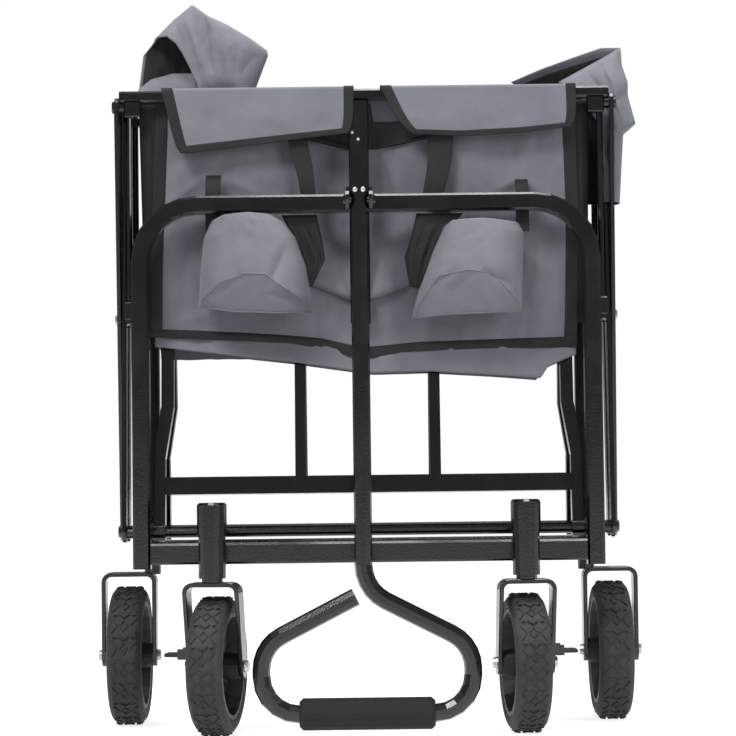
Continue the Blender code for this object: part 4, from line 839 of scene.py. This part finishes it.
LEFT_NET = {
    "low": ((-0.0680, 0.5060), (-0.0613, 0.5100)),
    "top": ((-0.0960, 0.5915), (-0.0560, 0.5915)),
    "left": ((-0.0680, 0.5060), (-0.0705, 0.5350), (-0.0820, 0.5650), (-0.0960, 0.5915)),
    "right": ((-0.0613, 0.5100), (-0.0462, 0.5392), (-0.0494, 0.5597), (-0.0560, 0.5915)),
}
RIGHT_NET = {
    "low": ((0.0500, 0.5080), (0.0600, 0.5050)),
    "top": ((0.0590, 0.5915), (0.1130, 0.5915)),
    "left": ((0.0500, 0.5080), (0.0447, 0.5415), (0.0530, 0.5650), (0.0590, 0.5915)),
    "right": ((0.0600, 0.5050), (0.0740, 0.5350), (0.0860, 0.5640), (0.1130, 0.5915)),
}
dressed_pouch(
    "left", LEFT_POUCH, 21,
    [((0.10, 0.10), (0.42, 0.34), 0.03, 0.0026), ((0.62, 0.20), (0.86, 0.62), 0.05, 0.0050),
     ((0.60, 0.18), (0.95, 0.06), 0.03, 0.0030), ((0.64, 0.30), (0.98, 0.10), 0.03, -0.0022),
     ((0.02, 0.50), (0.10, 0.16), 0.03, 0.0020)],
    LEFT_NET,
)
dressed_pouch(
    "right", RIGHT_POUCH, 25,
    [((0.10, 0.30), (0.34, 0.44), 0.03, 0.0026), ((0.58, 0.44), (0.88, 0.28), 0.03, 0.0040),
     ((0.30, 0.20), (0.52, 0.40), 0.05, 0.0026), ((0.80, 0.40), (0.97, 0.10), 0.03, 0.0024)],
    RIGHT_NET,
)


STRAP_THICKNESS = 0.0018
STRAP_EDGE = 0.0004
STRAP_CURL = 0.0006
STRAP_STEP = 0.003


def strap(name, line, width, body):
    """Flat strap along rounded (x, y, z) points, with its width across x at both ends."""
    line = rounded_line(line)

    def place(u, v):
        x, y, z = along(line, v)
        across = between(-0.5, 0.5, u) * between(*width, v)
        return (x + across, y - STRAP_CURL * math.sin(math.pi * u), z)
    rows = max(12, round(sum(math.dist(a, b) for a, b in zip(line, line[1:])) / STRAP_STEP))
    piece = cloth_piece(
        name, [(6, rows, place)], WEBBING, thick=STRAP_THICKNESS, edge=STRAP_EDGE
    )
    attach(piece, body)
    lay_sheet(piece)


PANEL_AHEAD_Y = PANEL_FACE_Y - 0.0075
WEBBING_Y = [PANEL_AHEAD_Y - ahead for ahead in (0.0, 0.003, 0.007, 0.008, 0.008)]
for name, across, heights, width in (
    ("left_webbing", (-0.0790, -0.0770, -0.0690, -0.0660, -0.0640),
     (0.7000, 0.6770, 0.6450, 0.6220, 0.5950), (0.0250, 0.0150)),
    ("right_webbing", (0.0890, 0.0885, 0.0860, 0.0800, 0.0740),
     (0.7000, 0.6780, 0.6450, 0.6205, 0.5950), (0.0310, 0.0230)),
):
    strap(name, list(zip(across, WEBBING_Y, heights)), width, "front_rail")
for side, x, top, width in (("left", -0.1752, 0.6390, 0.0175), ("right", 0.1814, 0.6300, 0.0150)):
    tab = (
        (x, PANEL_AHEAD_Y + 0.0010, top + 0.002), (x, HOOP_BACK_Y + 0.0060, top - 0.006),
        (x, HOOP_BACK_Y + 0.0018, 0.6160), (x, HOOP_BACK_Y + 0.0018, 0.5900),
        (x, HOOP_BACK_Y - 0.0030, 0.5700),
    )
    strap(f"pouch_tab_{side}", tab, (width, width), "front_frame")


# Side walls pushed up over the ends of the rails

BULGE_MIDDLE_Y = (PIVOT_Y + REAR_PIVOT_Y) / 2
BULGE_HALF_DEPTH = 0.0225
SHADE_SHEET_AHEAD = 0.0030


def bulge_place(cut, seed, side, creases):
    """One wall of a bulge; the front and the rear wall meet along its top and outer edges."""
    flat = cut_between(cut)

    def place(u, v):
        x, z = flat(u, v)
        closing = (1 - v ** 5) ** 0.6 * (1 - u ** 6) ** 0.6
        folds = sum(depth * crease(u, v, a, b, wide) for a, b, wide, depth in creases)
        soft = crumple(x, z, 0.030, seed, 3.0) * 0.0040
        soft += crumple(x, z, 0.012, seed + 1, 2.0) * 0.0012
        depth = (BULGE_HALF_DEPTH - soft - folds) * closing
        return (x, BULGE_MIDDLE_Y - side * depth, z)
    return place


LEFT_TOP = (
    (-0.2445, 0.8085), (-0.2230, 0.8300), (-0.2010, 0.8478), (-0.1833, 0.8347), (-0.1600, 0.8238),
    (-0.1345, 0.8083), (-0.1136, 0.7928),
)
LEFT_OUTER = ((-0.1310, 0.7400), (-0.1270, 0.7497), (-0.1125, 0.7870), (-0.1136, 0.7928))
LEFT_FRONT_WALL = {
    "low": ((-0.1925, 0.7400), (-0.1310, 0.7400)), "top": LEFT_TOP,
    "left": ((-0.1925, 0.7400), (-0.1948, 0.7517), (-0.2030, 0.7700), (-0.2108, 0.7858),
             (-0.2190, 0.7990), (-0.2300, 0.8078), (-0.2445, 0.8085)),
    "right": LEFT_OUTER,
}
LEFT_REAR_WALL = {
    "low": ((-0.2650, 0.7400), (-0.1310, 0.7400)), "top": LEFT_TOP,
    "left": ((-0.2650, 0.7400), (-0.2674, 0.7479), (-0.2610, 0.7923), (-0.2445, 0.8085)),
    "right": LEFT_OUTER,
}
RIGHT_OUTER = (
    (0.2985, 0.6065), (0.3010, 0.6450), (0.3040, 0.6880), (0.3190, 0.7010), (0.3105, 0.7350),
    (0.3107, 0.7502), (0.3039, 0.7714), (0.3030, 0.7913),
)
RIGHT_FRONT_WALL = {
    "low": ((0.2770, 0.6060), (0.2985, 0.6065)),
    "top": ((0.2299, 0.7512), (0.2770, 0.7764), (0.3030, 0.7913)),
    "left": ((0.2770, 0.6060), (0.2790, 0.6500), (0.2720, 0.7000), (0.2520, 0.7350),
             (0.2299, 0.7512)),
    "right": RIGHT_OUTER,
}
RIGHT_REAR_WALL = {
    "low": ((0.2450, 0.6100), (0.2985, 0.6065)),
    "top": ((0.1738, 0.7519), (0.2100, 0.7670), (0.2478, 0.7802), (0.2800, 0.7910),
            (0.3030, 0.7913)),
    "left": ((0.2450, 0.6100), (0.2450, 0.7000), (0.2100, 0.7400), (0.1738, 0.7519)),
    "right": RIGHT_OUTER,
}
# Creases as (start, end, half width, depth), the first three in shares of the cloth
LEFT_CREASES = [
    ((0.30, 0.20), (0.42, 0.95), 0.05, 0.0050), ((0.55, 0.10), (0.58, 0.90), 0.04, -0.0035),
    ((0.16, 0.30), (0.22, 0.90), 0.04, -0.0030), ((0.02, 0.05), (0.80, 0.02), 0.05, 0.0040),
    ((0.75, 0.25), (0.98, 0.90), 0.05, 0.0030),
]
RIGHT_CREASES = [
    ((0.42, 0.95), (0.30, 0.15), 0.05, 0.0060), ((0.70, 0.98), (0.62, 0.60), 0.04, -0.0030),
    ((0.35, 0.66), (0.98, 0.72), 0.03, 0.0040), ((0.15, 0.30), (0.55, 0.42), 0.05, 0.0050),
]


def sheet_of_shade(place, ahead):
    """Near-black sheet a little ahead of a cloth, on its inner side, as painted shade."""
    def backed(u, v):
        x, y, z = place(u, v)
        return (x, y - ahead * (1 - v ** 6) * (1 - u ** 6), z)
    return backed


def dressed_bulge(side, front_cut, rear_cut, seed, creases, extra=()):
    """Grey cloth of a bulge, and a near-black sheet inside it that paints the shade of its
    opening.
    """
    front = bulge_place(front_cut, seed, 1, creases)
    rear = bulge_place(rear_cut, seed + 3, -1, ())
    outer = cloth_piece(
        f"side_bulge_{side}_cloth", [(64, 56, front), (48, 40, rear), *extra], GREY_CLOTH
    )
    # Near-black sheet inside the bulge: painted shade.
    inner = cloth_piece(
        f"side_bulge_{side}_lining",
        [(48, 40, inset(sheet_of_shade(rear, SHADE_SHEET_AHEAD), 0.03, 0.0, 0.05)),
         (48, 40, inset(sheet_of_shade(front, -SHADE_SHEET_AHEAD), 0.03, 0.0, 0.05))],
        DARK_CLOTH_AND_SHADE,
    )
    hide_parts(f"side_bulge_{side}")
    for cloth in (outer, inner):
        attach(cloth, "front_rail")
        lay_sheet(cloth)
        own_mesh(cloth)


def lip_place(u, v):
    """Fold of wall cloth that lies across the foot of the left bulge's opening."""
    low = along(((-0.2640, 0.7400), (-0.1930, 0.7400)), u)
    top = along(((-0.2640, 0.7480), (-0.2500, 0.7590), (-0.2250, 0.7660), (-0.1985, 0.7660)), u)
    x, z = between(low[0], top[0], v), between(low[1], top[1], v)
    return (x, BULGE_MIDDLE_Y - 0.016 + 0.012 * v * v + crumple(x, z, 0.02, 33) * 0.001, z)


dressed_bulge(
    "left", LEFT_FRONT_WALL, LEFT_REAR_WALL, 31, LEFT_CREASES, [(30, 10, lip_place)]
)
dressed_bulge("right", RIGHT_FRONT_WALL, RIGHT_REAR_WALL, 37, RIGHT_CREASES)


# Bound edges of the side walls, which stand beside the front panel

WALL_CLEARANCE = 0.0060
WALL_FRONT_Y = PANEL_FACE_Y + WALL_CLEARANCE


def wall_edge_place(sign):
    """Strip that hangs from the rail beside the panel; sign is -1 on the left, 1 on the right."""
    def place(u, v):
        z = between(0.4660, 0.7270, v)
        x = sign * between(0.2400, 0.2630 - 0.006 * (1 - v), u)
        bow = 0.003 * math.sin(math.pi * u) + crumple(u, z, 0.05, 61, 2.0) * 0.0015
        return (x, WALL_FRONT_Y + 0.004 * u - bow, z)
    return place


for side, sign in (("left", -1), ("right", 1)):
    edge = cloth_piece(f"side_wall_{side}_bound_edge", [(8, 40, wall_edge_place(sign))], DARK_CLOTH_AND_SHADE)
    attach(edge, "front_rail")
    lay_sheet(edge)


# Side walls and floor, gathered between the two panels

WALL_REAR_Y = REAR_PIVOT_Y - (PANEL_FACE_Y - PIVOT_Y) - WALL_CLEARANCE
WALL_FOLDS = 3
WALL_FOLD_DEPTH = 0.030
FLOOR_FOLDS = 2
FLOOR_SAG = 0.030


def in_folds(share, count):
    """1 at both ends and between folds, 0 in the middle of each fold."""
    return abs(((share * count) % 1.0) * 2 - 1) if share < 1 else 1.0


def wall_place(sign, seed):
    """Pleated side wall that stands between the panels."""
    def place(u, v):
        z = between(0.458, 0.716, v)
        edge = side_of(PANEL_LEFT, z) if sign < 0 else side_of(PANEL_RIGHT, z)
        fold = in_folds(u, WALL_FOLDS)
        wave = crumple(u, z, 0.06, seed, 1.0) * 0.0025
        tuck = WALL_FOLD_DEPTH * (1 - fold) * (0.75 + 0.25 * math.sin(v * 7 + seed))
        x = edge - sign * (0.0015 + tuck) + wave * (1 - fold)
        return (x, between(WALL_FRONT_Y, WALL_REAR_Y, u), z)
    return place


def floor_place(u, v):
    """Slack floor cloth, hung in two folds under the gathered bag."""
    x = between(-0.240, 0.240, u)
    sag = FLOOR_SAG * (1 - in_folds(v, FLOOR_FOLDS))
    z = 0.4600 - sag + crumple(x, v, 0.06, 43) * 0.002
    return (x, between(WALL_FRONT_Y, WALL_REAR_Y, v), z)


for name, nodes, grid in (
    ("side_wall_left", ("side_wall_front_left", "side_wall_rear_left"),
     (36, 40, wall_place(-1, 41))),
    ("side_wall_right", ("side_wall_front_right", "side_wall_rear_right"),
     (36, 40, wall_place(1, 42))),
    ("bag_floor", ("floor_cloth_front", "floor_cloth_rear"), (60, 32, floor_place)),
):
    # Walls and floor take the darker copy of the grey cloth, as painted shade.
    wall = cloth_piece(f"{name}_cloth", [grid], SHADED_CLOTH)
    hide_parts(*nodes)
    lay_sheet(wall)
    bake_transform(wall)


# Tyres: a wide flat band with diamonds and chevrons moulded on it

TYRE_WALL = 0.0167
TYRE_HALF_WIDTH = 0.0205
TYRE_SIDES = 96
TREAD_HEIGHT = 0.0012
TREAD_ROOT = 0.0010
TREAD_DIAMONDS = 18
RIDGE_HALF_WIDTH = 0.00085
RIDGE_END = 0.0005
RIDGE_TAPER = 0.7

# Right half of one pitch of the tread in millimetres: diamond, chevron, V and bar
TREAD_LINES = (
    ((0, 6.4), (4.6, 0)), ((4.6, 0), (0, -6.4)), ((14.2, 8.6), (7.6, 0)), ((7.6, 0), (14.2, -8.6)),
    ((0, 10.2), (5.2, 14.4)), ((8.8, 13.6), (12.6, 13.6)),
)


def tread_pitch():
    """One pitch of the tread as ridges that stand up along Z."""
    bm = bmesh.new()
    for sign in (-1, 1):
        for line in TREAD_LINES:
            a, b = (Vector((sign * x, y, 0)) / 1000 for x, y in line)
            ahead = (b - a).normalized()
            side = Vector((-ahead.y, ahead.x, 0)) * RIDGE_HALF_WIDTH
            a, b = a - ahead * RIDGE_END, b + ahead * RIDGE_END
            foot, top = [
                [bm.verts.new(point + Vector((0, 0, height))) for point in
                 (a - side * share, b - side * share, b + side * share, a + side * share)]
                for height, share in ((-TREAD_ROOT, 1.0), (TREAD_HEIGHT, RIDGE_TAPER))
            ]
            skin(bm, [foot, top])
            bm.faces.new(foot[::-1])
            bm.faces.new(top)
    return mesh_piece("tread_pitch", bm, RUBBER, sharp=40)


def tread_ring(name, pitch, radius):
    """Pitches set round the X axis by Geometry Nodes, standing outwards, as one plain mesh."""
    tree = bpy.data.node_groups.new(f"{name}_ring", "GeometryNodeTree")
    for label, way, kind in (
        ("Geometry", "INPUT", "Geometry"), ("Geometry", "OUTPUT", "Geometry"),
        ("Diamonds", "INPUT", "Int"), ("Tread radius", "INPUT", "Float"),
    ):
        tree.interface.new_socket(label, in_out=way, socket_type=f"NodeSocket{kind}")
    group = add(tree, "NodeGroupInput")
    circle = add(
        tree, "GeometryNodeMeshCircle",
        {"Vertices": group.outputs["Diamonds"], "Radius": group.outputs["Tread radius"]},
    )
    upright = add(
        tree, "GeometryNodeTransform",
        {"Geometry": circle.outputs["Mesh"], "Rotation": (0.0, math.pi / 2, 0.0)},
    )
    spot = add(tree, "GeometryNodeInputPosition")
    outward = add(
        tree, "FunctionNodeAlignRotationToVector", {"Vector": spot.outputs["Position"]},
        axis="Z", pivot_axis="X",
    )
    source = add(tree, "GeometryNodeObjectInfo", {"Object": pitch}, transform_space="ORIGINAL")
    repeated = add(
        tree, "GeometryNodeInstanceOnPoints",
        {"Points": upright.outputs["Geometry"], "Instance": source.outputs["Geometry"],
         "Rotation": outward.outputs["Rotation"]},
    )
    real = add(tree, "GeometryNodeRealizeInstances", {"Geometry": repeated.outputs["Instances"]})
    coated = add(
        tree, "GeometryNodeSetMaterial", {"Geometry": real.outputs["Geometry"], "Material": RUBBER}
    )
    add(tree, "NodeGroupOutput", {"Geometry": coated.outputs["Geometry"]})
    carrier = placed(name, bpy.data.meshes.new(f"{name}_carrier"))
    maker = carrier.modifiers.new("ring", "NODES")
    maker.node_group = tree
    sockets = {socket.name: socket.identifier for socket in tree.interface.items_tree}
    maker[sockets["Diamonds"]] = TREAD_DIAMONDS
    maker[sockets["Tread radius"]] = radius
    graph = bpy.context.evaluated_depsgraph_get()
    mesh = bpy.data.meshes.new_from_object(carrier.evaluated_get(graph))
    carrier.modifiers.clear()
    carrier.data = mesh
    mesh.name = name
    return carrier


def circle_points(count):
    """Cosine and sine of evenly spaced angles round a circle."""
    return [(math.cos(a), math.sin(a)) for a in (2 * math.pi * i / count for i in range(count))]


def dressed_tyre(joint, node, body, pitch):
    """Smooth tyre and its tread, turned with its caster and set on its axle."""
    centre, axle = Vector(joint["pos_m"]), Vector(joint["axis"])
    reach = centre.z
    floor = reach - TREAD_HEIGHT
    flank = [
        (0.35, floor), (0.60, floor - 0.0002), (0.72, floor - 0.0008), (0.86, reach - 0.0042),
        (0.94, reach - 0.0064), (1.0, reach - 0.0098), (0.99, reach - 0.0125),
        (0.93, reach - TYRE_WALL),
    ]
    profile = [(-share, out) for share, out in reversed(flank)] + flank
    bm = bmesh.new()
    rows = [
        [bm.verts.new((TYRE_HALF_WIDTH * share, out * c, out * s))
         for c, s in circle_points(TYRE_SIDES)]
        for share, out in profile
    ]
    skin(bm, [*rows, rows[0]])
    tyre = mesh_piece(f"{node}_carcass", bm, RUBBER, sharp=50)
    tread = tread_ring(f"{node}_tread", pitch, floor)
    place = Matrix.Translation(centre) @ Matrix.Rotation(math.atan2(axle.y, axle.x), 4, "Z")
    for piece in (tyre, tread):
        piece.data.transform(place)
        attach(piece, body)
    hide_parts(node)


tread = tread_pitch()
spins = {joint["name"]: joint for joint in frame["joints"]}
for end in ("front", "rear"):
    for side in ("left", "right"):
        dressed_tyre(
            spins[f"{end}_wheel_spin_{side}"], f"tyre_{end}_{side}", f"{end}_wheel_{side}", tread
        )
bpy.data.objects.remove(tread)


# Rivets that the photograph shows bright, on the handle bracket and the centre post

RIVET_SIDES = 16
RIVET_RISE = 0.55


def rivet_heads(name, spots, radius, body):
    """Domed heads that face the front at the given places, each closed at its back."""
    bm = bmesh.new()
    turn = Vector((0, -1, 0)).to_track_quat("Z", "Y").to_matrix()
    for spot in spots:
        rings = []
        for share in (0.0, 0.35, 0.65, 0.88):
            reach = radius * math.cos(share * math.pi / 2)
            rise = radius * RIVET_RISE * math.sin(share * math.pi / 2)
            rings.append([
                bm.verts.new(Vector(spot) + turn @ Vector((reach * c, reach * s, rise)))
                for c, s in circle_points(RIVET_SIDES)
            ])
        skin(bm, rings)
        bm.faces.new(rings[0][::-1])
        bm.faces.new(rings[-1])
    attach(mesh_piece(name, bm, ZINC, sharp=35), body)


BRACKET_X = (BRACKET_LOW.x + BRACKET_HIGH.x) / 2
rivet_heads(
    "bracket_rivets", [(BRACKET_X + s * 0.0045, BRACKET_LOW.y - 0.0006, 0.6105) for s in (-1, 1)],
    0.0030, "front_frame",
)
# The post's heads are set only where the post shows glints: bright zinc that stands in for those
# glints, painted highlights.
POST_X = (POST_LOW.x + POST_HIGH.x) / 2
rivet_heads(
    "post_rivets",
    [(POST_X + x, POST_LOW.y - 0.0002, z) for x, z in
     ((-0.0075, 0.7270), (-0.0075, 0.7150), (-0.0075, 0.6880), (-0.0005, 0.6800))],
    0.0019, "front_rail",
)


# Stage: camera, floor and light

VIEW_CENTRE = Vector((0.0012, 0.0, 0.417))
VIEW_DISTANCE = 2.6026
VIEW_ELEVATION = math.radians(-2.576)
VIEW_ROLL = math.radians(-0.7)
VIEW_WIDTH = 0.8611
FLOOR_SIZE = 20
PAPER_GREY = 0.62
FLOOR_GLOW = 0.80
SURROUND = 0.32
LAMP_AIM = Vector((0, 0, 0.4))


def photo_camera():
    """Camera at the photograph's height and distance, its frame as wide as the photograph's."""
    data = bpy.data.cameras.new("photo_camera")
    data.lens = data.sensor_width * VIEW_DISTANCE / VIEW_WIDTH
    camera = placed("photo_camera", data)
    back = Vector((0, -math.cos(VIEW_ELEVATION), math.sin(VIEW_ELEVATION)))
    camera.location = VIEW_CENTRE + back * VIEW_DISTANCE
    turn = back.to_track_quat("Z", "Y").to_matrix().to_4x4()
    camera.matrix_world = (
        Matrix.Translation(camera.location) @ turn @ Matrix.Rotation(VIEW_ROLL, 4, "Z")
    )
    bpy.context.scene.camera = camera


def pale_floor():
    """White studio floor: a shadow stays, and the camera sees the rest as plain white."""
    mesh = bpy.data.meshes.new("floor")
    corners = ((-1, -1, 0), (1, -1, 0), (1, 1, 0), (-1, 1, 0))
    mesh.from_pydata([Vector(corner) * FLOOR_SIZE for corner in corners], [], [(0, 1, 2, 3)])
    floor = placed("floor", mesh)
    material = bpy.data.materials.new("studio_paper")
    material.use_nodes = True
    tree = material.node_tree
    tree.nodes.clear()
    paper = add(tree, "ShaderNodeBsdfDiffuse", {"Color": (*[PAPER_GREY] * 3, 1)})
    glow = add(tree, "ShaderNodeEmission", {"Color": (1, 1, 1, 1), "Strength": FLOOR_GLOW})
    rays = add(tree, "ShaderNodeLightPath")
    seen = add(
        tree, "ShaderNodeMath",
        {0: rays.outputs["Is Camera Ray"], 1: rays.outputs["Is Glossy Ray"]}, operation="MAXIMUM",
    )
    lit = add(tree, "ShaderNodeAddShader", {0: paper.outputs[0], 1: glow.outputs[0]})
    mixed = add(
        tree, "ShaderNodeMixShader", {0: seen.outputs[0], 1: paper.outputs[0], 2: lit.outputs[0]}
    )
    add(tree, "ShaderNodeOutputMaterial", {"Surface": mixed.outputs[0]})
    mesh.materials.append(material)


def soft_light():
    """Wide soft lamps and a white surround, as in a light tent."""
    scene = bpy.context.scene
    scene.view_settings.view_transform = "Standard"
    world = bpy.data.worlds.new("light_tent")
    scene.world = world
    world.use_nodes = True
    tree = world.node_tree
    tree.nodes.clear()
    rays = add(tree, "ShaderNodeLightPath")
    seen = add(
        tree, "ShaderNodeMath",
        {0: rays.outputs["Is Camera Ray"], 1: rays.outputs["Is Transmission Ray"]},
        operation="MAXIMUM",
    )
    strength = add(
        tree, "ShaderNodeMapRange", {"Value": seen.outputs[0], "To Min": SURROUND, "To Max": 1.0}
    )
    sky = add(
        tree, "ShaderNodeBackground",
        {"Color": (1, 1, 1, 1), "Strength": strength.outputs["Result"]},
    )
    add(tree, "ShaderNodeOutputWorld", {"Surface": sky.outputs[0]})
    for name, place, size, power in (
        ("key", (-1.3, -2.0, 2.8), 1.0, 62.0),
        ("fill", (2.0, -2.0, 1.3), 1.1, 24.0),
        ("top", (0.2, -0.2, 2.8), 1.2, 42.0),
    ):
        lamp = bpy.data.lights.new(name, "AREA")
        lamp.size = size
        lamp.energy = power
        shape = placed(name, lamp)
        shape.location = place
        aim = LAMP_AIM - Vector(place)
        shape.rotation_euler = aim.to_track_quat("-Z", "Y").to_euler()


photo_camera()
pale_floor()
soft_light()
